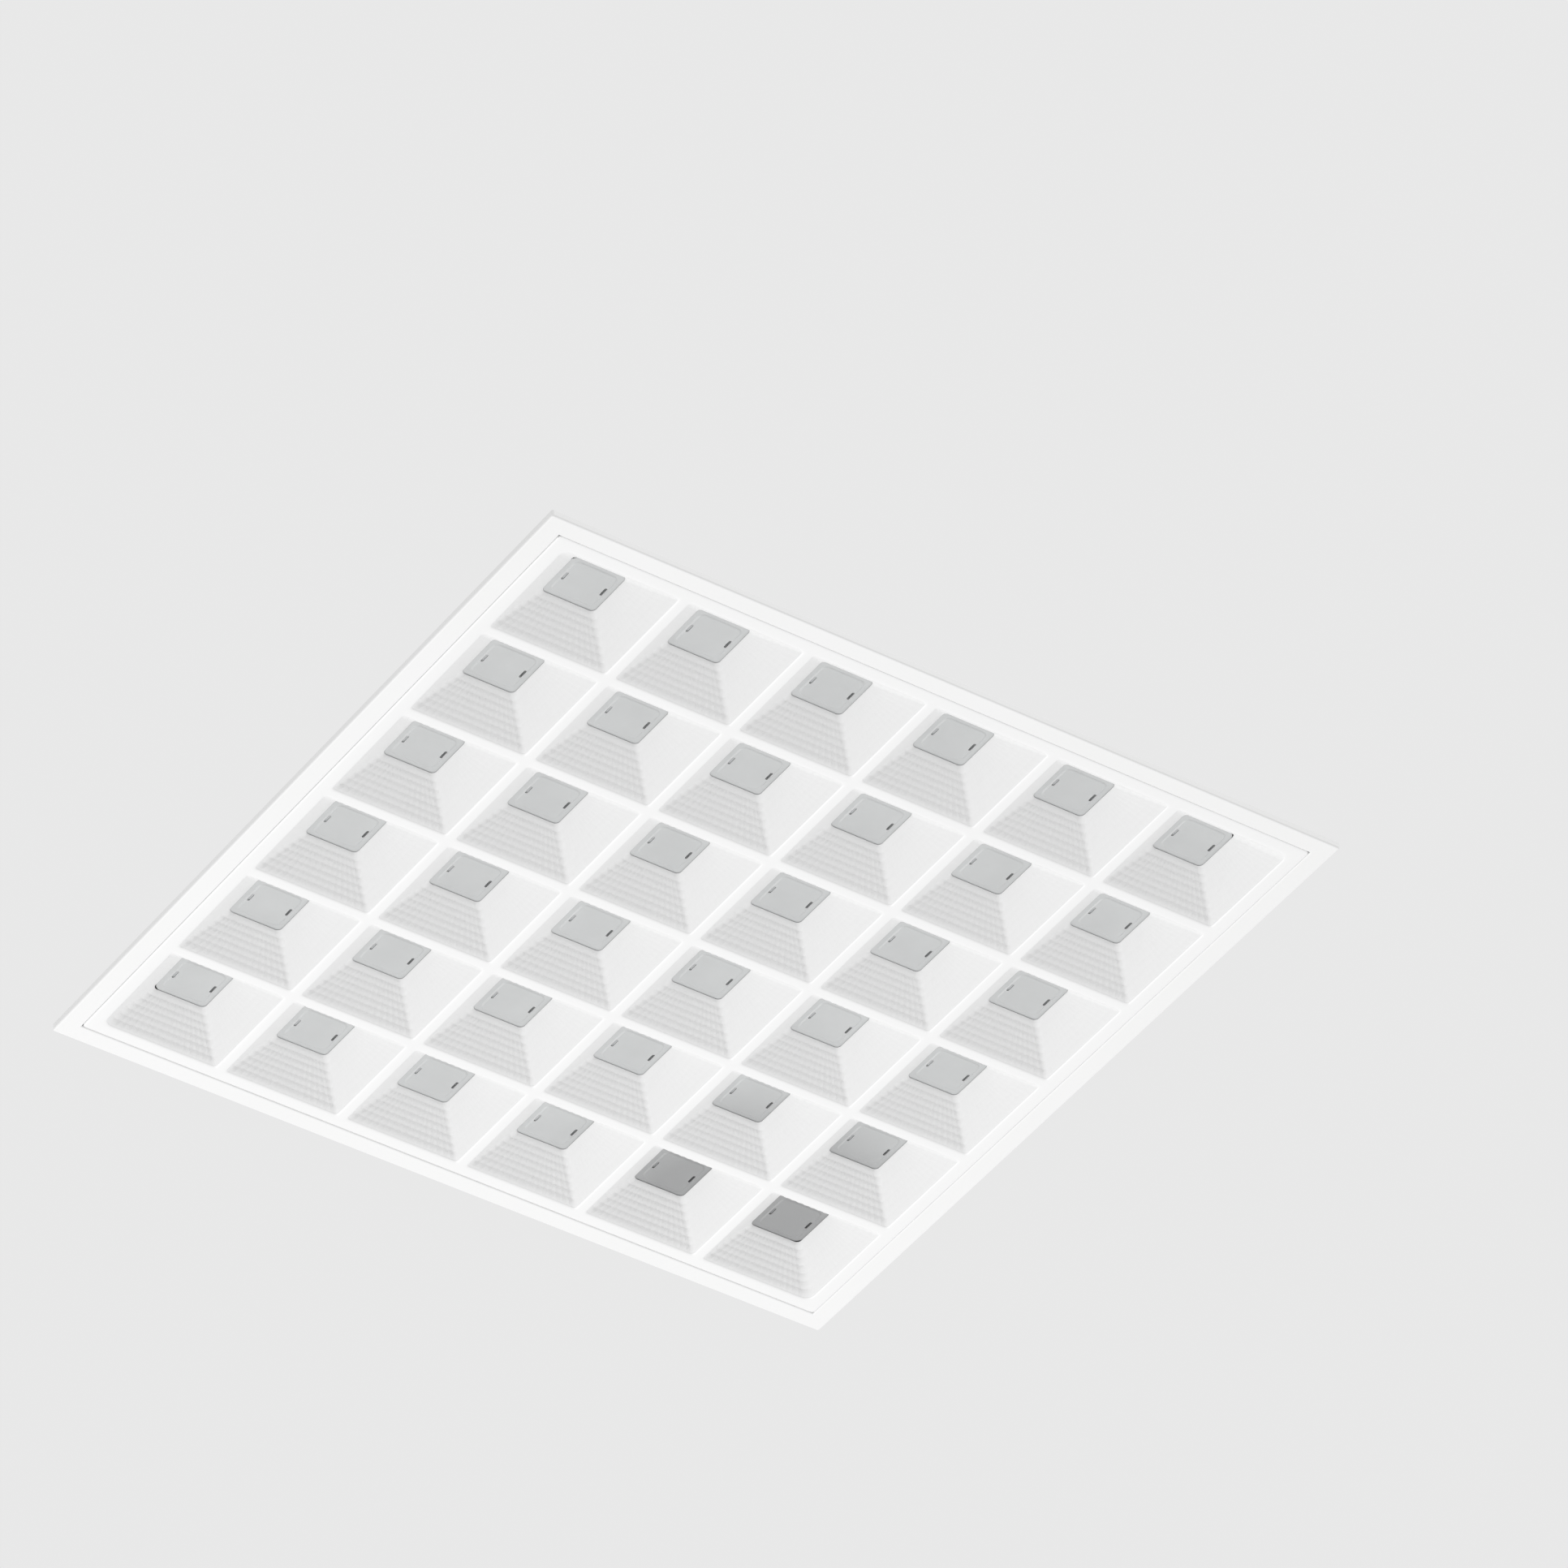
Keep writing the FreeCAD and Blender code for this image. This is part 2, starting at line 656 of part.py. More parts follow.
def make_driver_box_lid():
    """A lid with three turned-down edges and two knuckles on its fourth."""
    body = doc.addObject("PartDesign::Body", "driver_box_lid")
    foot = "(pan_top + box_height + lid_gap)"
    half_length = "(box_length / 2 + lid_side_gap + lid_sheet)"
    front = "(-box_width / 2 - lid_side_gap - lid_sheet)"
    plate = new_sketch(body, "lid_outline", offset=foot)
    rectangle(plate, f"-{half_length}", front, half_length, "lid_edge")
    pad(body, plate, "lid_sheet", "lid_plate")
    rim = new_sketch(body, "lid_rim_outline", offset=f"{foot} - lid_flange")
    rectangle(rim, f"-{half_length}", front, half_length, "lid_edge")
    pad(body, rim, "lid_flange", "lid_rim")
    inside = new_sketch(body, "lid_inside_outline", offset=f"{foot} - 2 * lid_flange")
    rectangle(inside, f"-{half_length} + lid_sheet", f"{front} + lid_sheet", f"{half_length} - lid_sheet",
              "box_width / 2 + lid_flange")
    pocket(body, inside, "2 * lid_flange", "lid_inside")
    width = "lid_knuckle_to - lid_knuckle_from"
    for name, start in (("left", "-lid_knuckle_to"), ("right", "lid_knuckle_from")):
        arm = new_sketch(body, f"lid_arm_{name}_outline", "YZ_Plane", start)
        rectangle(arm, "lid_edge - lid_sheet", foot, "lid_axis_out", f"{foot} + lid_sheet")
        pad(body, arm, width, f"lid_arm_{name}")
        knuckle = new_sketch(body, f"lid_knuckle_{name}_outline", "YZ_Plane", start)
        circle(knuckle, "lid_axis_out", "lid_axis_up", "knuckle_radius")
        pad(body, knuckle, width, f"lid_knuckle_{name}")
    bore = new_sketch(body, "lid_bore_outline", "YZ_Plane", "-box_length / 2")
    circle(bore, "lid_axis_out", "lid_axis_up", "lid_pin_radius + hinge_clearance")
    pocket(body, bore, "box_length", "lid_bore")
    keep(body, "driver_box_lid")


def make_lid_pins():
    length = "lid_knuckle_to - box_knuckle_from + 2 * lid_pin_end"
    for name, edge in (("lid_pin_left", "-lid_knuckle_to"), ("lid_pin_right", "box_knuckle_from")):
        foot = (f"{edge} - lid_pin_end", "lid_axis_out", "lid_axis_up")
        keep(rod(name, foot, "lid_pin_radius", length, Vector(1, 0, 0)), name)


# Driver, terminals, earth stud and grommets


FLOOR = "(pan_top + box_sheet)"


def driver_screw_places():
    """One screw in the ear at each end of the driver."""
    middle = "driver_back + driver_width / 2"
    ends = ("driver_start - driver_ear / 2", "driver_start + driver_length + driver_ear / 2")
    return [(end, middle) for end in ends]


def make_driver():
    body = doc.addObject("PartDesign::Body", "driver")
    case = new_sketch(body, "driver_outline", offset=FLOOR)
    rectangle(case, "driver_start", "driver_back", "driver_start + driver_length",
              "driver_back + driver_width")
    upper = pad(body, case, "driver_height", "driver_case")
    doc.recompute()
    top = value(f"{FLOOR} + driver_height")
    free_edges = []
    for index, edge in enumerate(upper.Shape.Edges, start=1):
        if max(point.Point.z for point in edge.Vertexes) > top - NEAR:
            free_edges.append(f"Edge{index}")
    chamfer = body.newObject("PartDesign::Chamfer", "driver_edges")
    chamfer.Base = (upper, free_edges)
    bind(chamfer, "Size", "driver_chamfer")
    ears = new_sketch(body, "driver_ear_outline", offset=FLOOR)
    rectangle(ears, "driver_start - driver_ear", "driver_back + driver_width / 4",
              "driver_start + driver_length + driver_ear", "driver_back + 3 * driver_width / 4")
    pad(body, ears, "driver_ear_height", "driver_ears")
    holes = new_sketch(body, "driver_hole_outline", offset=f"{FLOOR} - driver_ear_height")
    for along, across in driver_screw_places():
        circle(holes, along, across, "driver_screw_radius")
    pocket(body, holes, "3 * driver_ear_height", "driver_holes")
    keep(body, "driver")


def make_driver_screws():
    screws = []
    for number, (along, across) in enumerate(driver_screw_places()):
        shank = rod(f"driver_screw_{number}_shank", (along, across, FLOOR), "driver_screw_radius",
                    "driver_ear_height")
        head = rod(f"driver_screw_{number}_head", (along, across, f"{FLOOR} + driver_ear_height"),
                   "driver_screw_head", "driver_screw_radius")
        screws.append(fused(f"driver_screw_{number}", shank, head))
    keep(group("driver_screws", screws), "driver_screws")


POLES = 3


def pole_centre(pole):
    """The expression for the middle of one pole, across the block."""
    return f"(pole_pitch * ({pole} - {(POLES - 1) / 2}))"


def make_terminal_block():
    body = doc.addObject("PartDesign::Body", "terminal_block")
    case = new_sketch(body, "terminal_outline", offset=FLOOR)
    rectangle(case, "block_start", "-block_width / 2", "block_start + block_length", "block_width / 2")
    pad(body, case, "block_height", "terminal_case")
    slots = new_sketch(body, "lever_slot_outline",
                       offset="lever_axis_up - lever_hub_radius - lever_floor_gap")
    entries = new_sketch(body, "wire_entry_outline", "YZ_Plane", "block_start - entry_depth")
    entry_foot = f"{FLOOR} + entry_up"
    for pole in range(POLES):
        centre = pole_centre(pole)
        rectangle(slots, "lever_axis_along - lever_hub_radius - lever_hub_gap", f"{centre} - lever_slot / 2",
                  "lever_axis_along + lever_length + lever_end_gap", f"{centre} + lever_slot / 2")
        rectangle(entries, f"{centre} - entry_side / 2", entry_foot, f"{centre} + entry_side / 2",
                  f"{entry_foot} + entry_side")
    pocket(body, slots, "block_height", "lever_slots")
    pocket(body, entries, "2 * entry_depth", "wire_entries")
    pivot_half = f"(pole_pitch * {(POLES - 1) / 2} + lever_pivot_reach + lever_pivot_end_gap)"
    pivots = new_sketch(body, "lever_pivot_outline", "XZ_Plane", f"-{pivot_half}")
    circle(pivots, "lever_axis_along", "lever_axis_up", "lever_pivot_radius + hinge_clearance")
    pocket(body, pivots, f"2 * {pivot_half}", "lever_pivot_holes")
    keep(body, "terminal_block")


def make_terminal_levers():
    across = Vector(0, 1, 0)
    for pole in range(POLES):
        centre = pole_centre(pole)
        name = f"terminal_lever_{pole + 1}"
        hub = rod(f"{name}_hub", ("lever_axis_along", f"{centre} - lever_width / 2", "lever_axis_up"),
                  "lever_hub_radius", "lever_width", across)
        pivot = rod(f"{name}_pivot", ("lever_axis_along", f"{centre} - lever_pivot_reach", "lever_axis_up"),
                    "lever_pivot_radius", "2 * lever_pivot_reach", across)
        low = ("lever_axis_along", f"{centre} - lever_width / 2",
               "lever_axis_up + lever_hub_radius - lever_thickness")
        arm = block(f"{name}_arm", low, ("lever_length", "lever_width", "lever_thickness"))
        keep(fused(name, hub, pivot, arm), name)


def make_earth_parts():
    place = ("stud_along", "stud_across")
    thread = rod("earth_stud_thread", (*place, FLOOR), "stud_radius", "stud_height")
    collar = rod("earth_stud_collar", (*place, FLOOR), "stud_collar_radius", "stud_collar_height")
    keep(fused("earth_stud", thread, collar), "earth_stud")
    nut = doc.addObject("Part::Prism", "earth_nut_blank")
    nut.Polygon = 6
    bind(nut, "Circumradius", "nut_radius")
    bind(nut, "Height", "nut_height")
    for axis, text in zip("xyz", (*place, f"{FLOOR} + stud_collar_height + lug_thickness")):
        bind(nut, f"Placement.Base.{axis}", text)
    hole = rod("earth_nut_hole", (*place, FLOOR), "stud_radius", "stud_height")
    keep(cut("earth_nut", nut, hole), "earth_nut")


def make_grommet(name, foot, direction, bore, neck, flange, sheets):
    """A grooved ring that seats in sheet metal: foot is on the sheet's near face."""
    near = Vector(*(value(text) for text in foot))
    lip = value("grommet_lip")
    wall = value(sheets)
    solid = Part.makeCylinder(value(neck), wall, near, direction)
    for start in (near - direction * lip, near + direction * wall):
        solid = solid.fuse(Part.makeCylinder(value(flange), lip, start, direction))
    solid = solid.cut(Part.makeCylinder(value(bore), wall + 4 * lip, near - direction * 2 * lip, direction))
    item = doc.addObject("Part::Feature", name)
    item.Shape = solid.removeSplitter()
    keep(item, name)


# Leads that stay inside


def lead_path(points, bend):
    """Straight runs joined by tangent arcs of one radius."""
    edges = []
    start = points[0]
    for before, corner, after in zip(points, points[1:], points[2:]):
        arriving = (corner - before).normalize()
        leaving = (after - corner).normalize()
        turn = arriving.getAngle(leaving)
        back = bend * math.tan(turn / 2)
        first = corner - arriving * back
        last = corner + leaving * back
        centre = first + (leaving - arriving * math.cos(turn)).normalize() * bend
        middle = centre + ((first + last) / 2 - centre).normalize() * bend
        edges.append(Part.makeLine(start, first))
        edges.append(Part.Arc(first, middle, last).toShape())
        start = last
    edges.append(Part.makeLine(start, points[-1]))
    return Part.Wire(edges)


VOLUME_ERROR = 0.01


def lead(points, radius, bend):
    """A round lead along a path, whose volume is checked against its length."""
    path = lead_path(points, bend)
    profile = Part.Wire([Part.makeCircle(radius, points[0], points[1] - points[0])])
    solid = path.makePipeShell([profile], True, False)
    expected = math.pi * radius ** 2 * path.Length
    if abs(solid.Volume / expected - 1) > VOLUME_ERROR:
        raise ValueError("a lead's volume is off")
    return solid


def make_input_leads():
    """Live and neutral, from the terminal block to the driver."""
    start_along = value("block_start + block_length")
    end_along = value("driver_start")
    low = value(f"{FLOOR} + wire_low_level")
    high = value(f"{FLOOR} + wire_high_level")
    middle = (start_along + end_along) / 2
    half_crossing = value("wire_crossing / 2")
    wires = []
    for pole, across in enumerate(("-wire_first_across", "-wire_second_across")):
        start = Vector(start_along, value(pole_centre(pole)), low)
        finish = Vector(end_along, value(across), high)
        bends = [Vector(middle - half_crossing, start.y, low), Vector(middle + half_crossing, finish.y, high)]
        wires.append(lead([start, *bends, finish], value("wire_radius"), value("wire_bend")))
    item = doc.addObject("Part::Feature", "input_leads")
    item.Shape = Part.makeCompound(wires)
    keep(item, "input_leads")


def make_earth_lead():
    """From the third pole to the stud, with a ring lug pressed flat on the stud's collar."""
    up = Vector(0, 0, 1)
    thin = value("wire_radius")
    bore = value("stud_radius")
    ring = value("lug_radius")
    plate = value("lug_thickness")
    foot = Vector(value("stud_along"), value("stud_across"), value(f"{FLOOR} + stud_collar_height"))
    level = foot.z + thin
    start = Vector(value("block_start + block_length"), value(pole_centre(POLES - 1)), level)
    finish = foot + Vector(0, bore / 2 - ring, thin)
    wire = lead([start, Vector(foot.x, start.y, level), finish], thin, value("earth_bend"))
    lug = Part.makeCylinder(ring, plate, foot, up)
    nut_room = Part.makeCylinder(ring + thin / 2, 2 * thin, foot + up * plate, up)
    eye = Part.makeCylinder(bore, 4 * thin, foot - up * thin, up)
    item = doc.addObject("Part::Feature", "earth_lead")
    item.Shape = wire.fuse(lug).cut(nut_room).cut(eye)
    keep(item, "earth_lead")


def make_output_leads():
    """Two leads from the driver through the pan, each to the boards of one half."""
    case_end = value("driver_start + driver_length")
    hole = value("lead_hole_along")
    below = value("lens_foot - output_lead_dip")
    level = value(f"{PLUG_AXIS} - output_lead_drop")
    slant_end = value("lead_hole_along + output_lead_slant")
    reach = value("pitch / 2 - connector_width / 2")
    leads = []
    for side in SIDES:
        across = side * value("output_lead_offset")
        leave = value("output_lead_fan") * across - value("output_lead_across")
        above = value(f"{FLOOR} + output_lead_level") + across
        plug = value("connector_start + connector_length / 2") + across
        route = [
            Vector(case_end, leave, above),
            Vector(hole, leave, above),
            Vector(hole, across, above),
            Vector(hole, across, below),
            Vector(slant_end, across, level),
            Vector(plug, across, level),
            Vector(plug, side * reach, level),
        ]
        leads.append(lead(route, value("output_lead_radius"), value("output_lead_bend")))
    item = doc.addObject("Part::Feature", "output_leads")
    item.Shape = Part.makeCompound(leads)
    keep(item, "output_leads")


# Hold-down clips


def clip_places():
    """The four pivots, one to a corner, counted row by row."""
    return [(across, along) for across in SIDES for along in SIDES]


def make_clip_fasteners():
    posts = []
    screws = []
    head_foot = "pan_top + clip_post_height + clip_thickness + 2 * clip_clearance"
    for number, (across, along) in enumerate(clip_places(), start=1):
        centre = (f"{along} * clip_along", f"{across} * clip_across")
        blank = rod(f"post_{number}_blank", (*centre, "pan_top"), "clip_post_radius", "clip_post_height")
        hole = rod(f"post_{number}_hole", (*centre, "pan_top"), "clip_screw_radius", "clip_post_height")
        posts.append(cut(f"post_{number}", blank, hole))
        shank = rod(f"clip_screw_{number}_shank", (*centre, "pan_top"), "clip_screw_radius",
                    "clip_post_height + clip_thickness + 2 * clip_clearance")
        head = rod(f"clip_screw_{number}_head", (*centre, head_foot), "clip_head_radius", "clip_head_height")
        screws.append(fused(f"clip_screw_{number}", shank, head))
    keep(group("clip_posts", posts), "clip_posts")
    keep(group("clip_screws", screws), "clip_screws")


def make_hold_down_clips():
    """Flat arms with a finger tab, parked along the pan and pointing inwards."""
    foot = "(pan_top + clip_post_height + clip_clearance)"
    for number, (across, along) in enumerate(clip_places(), start=1):
        body = doc.addObject("PartDesign::Body", f"hold_down_clip_{number}")
        bind(body, "Placement.Base.x", f"{along} * clip_along")
        bind(body, "Placement.Base.y", f"{across} * clip_across")
        if along > 0:
            arm_ends = ("-clip_reach", "0")
            tab_ends = ("-clip_reach", "-clip_reach + clip_thickness")
        else:
            arm_ends = ("0", "clip_reach")
            tab_ends = ("clip_reach - clip_thickness", "clip_reach")
        arm = new_sketch(body, "clip_arm_outline", offset=foot)
        rectangle(arm, arm_ends[0], "-clip_width / 2", arm_ends[1], "clip_width / 2")
        pad(body, arm, "clip_thickness", "clip_arm")
        eye = new_sketch(body, "clip_eye_outline", offset=foot)
        circle(eye, "0", "0", "clip_width / 2")
        pad(body, eye, "clip_thickness", "clip_eye")
        tab = new_sketch(body, "clip_tab_outline", offset=foot)
        rectangle(tab, tab_ends[0], "-clip_width / 2", tab_ends[1], "clip_width / 2")
        pad(body, tab, "clip_tab_height", "clip_tab")
        hole = new_sketch(body, "clip_hole_outline", offset=f"{foot} - clip_thickness")
        circle(hole, "0", "0", "clip_screw_radius + clip_clearance")
        pocket(body, hole, "3 * clip_thickness", "clip_hole")
        keep(body, f"hold_down_clip_{number}")


# Louvre


def repeat_in_cells(body, feature, name):
    """Move a frustum to the first cell and repeat it over all of them."""
    for axis in "xy":
        bind(feature, f"AttachmentOffset.Base.{axis}", FIRST_CELL)
    spread(body, feature, name, CELLS, CELLS)


def make_wells(body):
    """Shells around the wells, then the wells and their wider mouths cut through."""
    shell = wedge(body, "Additive", "well_shell", f"{well_half('0')} + well_wall", "0",
                  "throat / 2 + well_wall", "well_depth")
    repeat_in_cells(body, shell, "well_shells")
    low, high = "-overshoot", "well_depth + overshoot"
    well = wedge(body, "Subtractive", "well", well_half(low), low, well_half(high), high)
    repeat_in_cells(body, well, "wells")
    half = "((pitch - bar_flat) / 2)"
    flare = "((bar_width - bar_flat) / 2 / mouth_depth)"
    mouth = wedge(body, "Subtractive", "mouth", f"{half} + {flare} * overshoot", low,
                  f"{half} - {flare} * mouth_depth", "mouth_depth")
    repeat_in_cells(body, mouth, "mouths")


def make_louvre():
    """A plate with a skirt, two hinge bosses, the wells and two recesses for magnets."""
    body = doc.addObject("PartDesign::Body", "louvre")
    plate = new_sketch(body, "plate_outline")
    square(plate, "louvre_side")
    pad(body, plate, "louvre_plate", "plate")
    skirt = new_sketch(body, "skirt_outline")
    square(skirt, "louvre_side")
    square(skirt, "louvre_side - 2 * louvre_skirt_wall")
    pad(body, skirt, "louvre_skirt_height", "skirt")
    inner, outer = "(louvre_side / 2 - louvre_boss)", "louvre_side / 2"
    for name, left, right in (("left", f"-{outer}", f"-{inner}"), ("right", inner, outer)):
        boss = new_sketch(body, f"boss_{name}_outline")
        rectangle(boss, left, inner, right, outer)
        pad(body, boss, "louvre_skirt_height", f"hinge_boss_{name}")
    make_wells(body)
    bore_length = "(louvre_side / 2 - hinge_pin_inner + overshoot)"
    for name, start in (("left", "-louvre_side / 2 - overshoot"), ("right", "hinge_pin_inner")):
        bore = new_sketch(body, f"pin_bore_{name}_outline", "YZ_Plane", start)
        circle(bore, "louvre_side / 2 - hinge_inset", "hinge_height", "hinge_pin_radius")
        pocket(body, bore, bore_length, f"pin_bore_{name}")
    recess = new_sketch(body, "magnet_outline", offset="magnet_foot")
    for side in SIDES:
        middle = f"({side} * magnet_spacing / 2)"
        rectangle(recess, f"{middle} - magnet_length / 2", "-louvre_side / 2 - overshoot",
                  f"{middle} + magnet_length / 2", "-louvre_side / 2 + magnet_depth - magnet_stand_off")
    pocket(body, recess, "magnet_height", "magnet_recesses")
    keep(body, "louvre")


def make_louvre_fittings():
    for name, start in (("hinge_pin_left", "-hinge_pin_outer"), ("hinge_pin_right", "hinge_pin_inner")):
        pin = rod(name, (start, "louvre_side / 2 - hinge_inset", "hinge_height"), "hinge_pin_radius",
                  "hinge_pin_outer - hinge_pin_inner", Vector(1, 0, 0))
        keep(pin, name)
    for side, name in SIDE_NAMES.items():
        low = (f"{side} * magnet_spacing / 2 - magnet_length / 2", "-louvre_side / 2 - magnet_stand_off",
               "magnet_foot")
        keep(block(f"catch_magnet_{name}", low, ("magnet_length", "magnet_depth", "magnet_height")),
             f"catch_magnet_{name}")


def check_and_export():
    """Stop on any failed object, then write each sub-part."""
    doc.recompute()
    for item in doc.Objects:
        if "Invalid" in item.State or "Error" in item.State:
            raise ValueError(f"{item.Label} failed: {item.State}")
    os.makedirs("parts", exist_ok=True)
    for item in nodes:
        shape = item.Shape
        if shape.isNull() or not shape.isValid():
            raise ValueError(f"{item.Label} has no valid shape")
        shape.exportStep(f"parts/{item.Label}.step")
        box = shape.BoundBox
        spans = ((box.XMin, box.XMax), (box.YMin, box.YMax), (box.ZMin, box.ZMax))
        spans_text = "  ".join(f"{low:7.1f}..{high:6.1f}" for low, high in spans)
        print(f"{item.Label:20} solids {len(shape.Solids):3}  volume {shape.Volume:9.0f}  {spans_text}")


make_front_frame()
make_housing_pan()
make_frame_rivets()
for board_row in range(CELLS):
    make_board_row(board_row)
make_board_screws()
make_board_connectors()
make_board_link_leads()
make_driver_box()
make_driver_box_lid()
make_lid_pins()
make_driver()
make_driver_screws()
make_terminal_block()
make_terminal_levers()
make_earth_parts()
make_grommet("inlet_grommet", ("-box_length / 2", "inlet_across", "inlet_up"), Vector(1, 0, 0),
             "inlet_radius", "inlet_hole_radius", "inlet_flange_radius", "box_sheet")
make_grommet("lead_grommet", ("lead_hole_along", "0", "pan_top - pan_sheet"), Vector(0, 0, 1),
             "lead_grommet_radius", "lead_hole_radius", "lead_grommet_flange", "pan_sheet + box_sheet")
make_input_leads()
make_earth_lead()
make_output_leads()
make_clip_fasteners()
make_hold_down_clips()
make_louvre()
make_louvre_fittings()
check_and_export()
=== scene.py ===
import math

import bmesh
import bpy
import numpy as np
from bpy.props import FloatProperty, FloatVectorProperty, IntProperty, PointerProperty
from bpy.types import Operator, Panel, PropertyGroup
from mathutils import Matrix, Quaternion, Vector


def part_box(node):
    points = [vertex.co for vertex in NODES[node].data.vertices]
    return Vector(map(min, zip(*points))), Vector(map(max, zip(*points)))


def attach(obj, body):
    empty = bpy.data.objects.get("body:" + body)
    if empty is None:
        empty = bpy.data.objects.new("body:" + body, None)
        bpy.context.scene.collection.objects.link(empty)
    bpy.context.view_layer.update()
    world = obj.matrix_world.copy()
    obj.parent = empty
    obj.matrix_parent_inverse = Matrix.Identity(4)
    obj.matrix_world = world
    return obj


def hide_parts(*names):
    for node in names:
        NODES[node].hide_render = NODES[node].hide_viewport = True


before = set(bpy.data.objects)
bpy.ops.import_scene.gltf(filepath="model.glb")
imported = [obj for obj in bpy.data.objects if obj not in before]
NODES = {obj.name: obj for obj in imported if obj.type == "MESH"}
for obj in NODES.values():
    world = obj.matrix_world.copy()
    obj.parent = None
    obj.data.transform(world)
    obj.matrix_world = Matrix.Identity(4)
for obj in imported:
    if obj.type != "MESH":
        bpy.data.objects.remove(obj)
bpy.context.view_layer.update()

bl_info = {
    "name": "Recessed louvred light",
    "version": (1, 0, 0),
    "blender": (4, 5, 0),
    "location": "View3D > Sidebar > Light",
    "description": "Dresses a square recessed light with its louvre, rim, lenses and finishes",
    "category": "Object",
}

MM = 0.001
LOUVRE_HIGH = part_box("louvre")[1]
RIM_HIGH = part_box("front_frame")[1]
QUARTER = math.pi / 2


# Sizes and colours a user would change


def length(name, description, millimetres):
    """A size whose default is given in millimetres."""
    size = millimetres * MM
    return FloatProperty(name=name, description=description, default=size, min=0.0, unit="LENGTH")


def paint(name, description, default):
    """A colour as it is written on a shader."""
    return FloatVectorProperty(
        name=name, description=description, default=default, subtype="COLOR", size=3, min=0.0, max=1.0
    )


class LouvreSizes(PropertyGroup):
    cells: IntProperty(name="Cells", description="Wells along each side", default=6, min=2, max=12)
    pitch: length("Pitch", "Distance between the middles of two wells", 92.5)
    plate: length("Plate", "Thickness of the plate between the wells", 2.2)
    bar: length("Bar", "Width of the bar between two mouths", 8.4)
    crown: length("Crown", "Depth of the rounding from the bar's crest to the mouth", 1.0)
    throat: length("Throat", "Side of a well at its narrow end", 38.8)
    wall: length("Wall", "Thickness of a well's wall, measured level", 2.8)
    rows: IntProperty(name="Rows", description="Facets up each wall", default=7, min=2, max=20)
    columns: IntProperty(name="Columns", description="Facets along each wall", default=15, min=3, max=40)
    row_swell: length("Row swell", "How far a row of facets stands out along a lens strip", 0.78)
    cross_swell: length("Cross swell", "How far a row stands out across a lens strip", 0.08)
    column_swell: length("Column swell", "How far a column stands out along a lens strip", 0.42)
    cross_column_swell: length("Cross column swell", "How far a column stands out across a lens strip", 0.1)
    corner: length("Well corner", "Radius of a well's corners at its mouth", 2.2)
    throat_corner: length("Throat corner", "Radius of a well's corners at its narrow end", 3.4)
    outer_corner: length("End corner", "Radius of the four wells' corners at the louvre's ends", 6.0)
    edge_gap: length("Edge gap", "Fine gap between the border and the rim", 0.12)
    hinge_gap: length("Hinge side gap", "The same gap where the edge swings up past the hinge", 0.55)
    skirt_wall: length("Skirt", "Thickness of the skirt behind the border", 2.0)
    skirt_height: length("Skirt height", "Height of the skirt over the visible face", 8.0)


class LensSizes(PropertyGroup):
    strip_length: length("Strip length", "Length of a lens strip", 504.0)
    strip_width: length("Strip width", "Width of a lens strip", 42.0)
    strip_face: length("Strip face", "Height of the strip's lower face", 24.35)
    strip_back: length("Strip back", "Height of the strip's upper face", 28.0)
    pad: length("Lens", "Side of a raised lens", 31.4)
    pad_radius: length("Lens corner", "Radius of a lens's corners", 4.0)
    pad_height: length("Lens height", "How far a lens stands out of its strip", 0.45)
    slot_length: length("Slot length", "Length of a slot", 7.5)
    slot_width: length("Slot width", "Width of a slot", 1.8)
    slot_offset: length("Slot offset", "From a lens's middle to each slot", 14.2)
    blind_depth: length("Blind depth", "Depth of the slot that doesn't go through", 0.9)


class RimSizes(PropertyGroup):
    opening: length("Opening", "Side of the square that the louvre closes", 567.4)
    sheet: length("Sheet", "Thickness of the rolled sheet", 1.0)
    edge: length("Edge", "Height of the outer edge", 5.0)
    web: length("Web", "Height of the inner web", 9.0)
    lip: length("Lip", "Outer side of the lip on top of the web", 584.4)
    bend: length("Bend", "Outer radius of the rolled bends", 1.1)
    corner: length("Corner", "Radius of the rim's corners seen from below", 1.6)


class PanSizes(PropertyGroup):
    flange: length("Flange", "Outer side of the flange that rests on the rim", 584.4)
    foot: length("Foot", "Side of the pan where its slope leaves the flange", 573.8)
    inner_foot: length("Inner foot", "The same side inside the pan", 573.2)
    base: length("Base", "Height of the flange's underside", 9.0)
    top: length("Top", "Height of the pan's back", 30.4)
    sheet: length("Sheet", "Thickness of the sheet", 0.8)
    fold: length("Fold", "Outer radius of the folds", 1.5)
    bead_height: length("Bead height", "How far the pressed beads stand out", 1.2)
    bead_radius: length("Bead radius", "Half the width of a bead", 4.5)
    hang_radius: length("Hanging hole", "Radius of a suspension hole", 2.6)
    hang_along: length("Hanging holes along", "From the middle to a suspension hole", 240.0)
    hang_across: length("Hanging holes across", "From the middle to a suspension hole", 185.0)


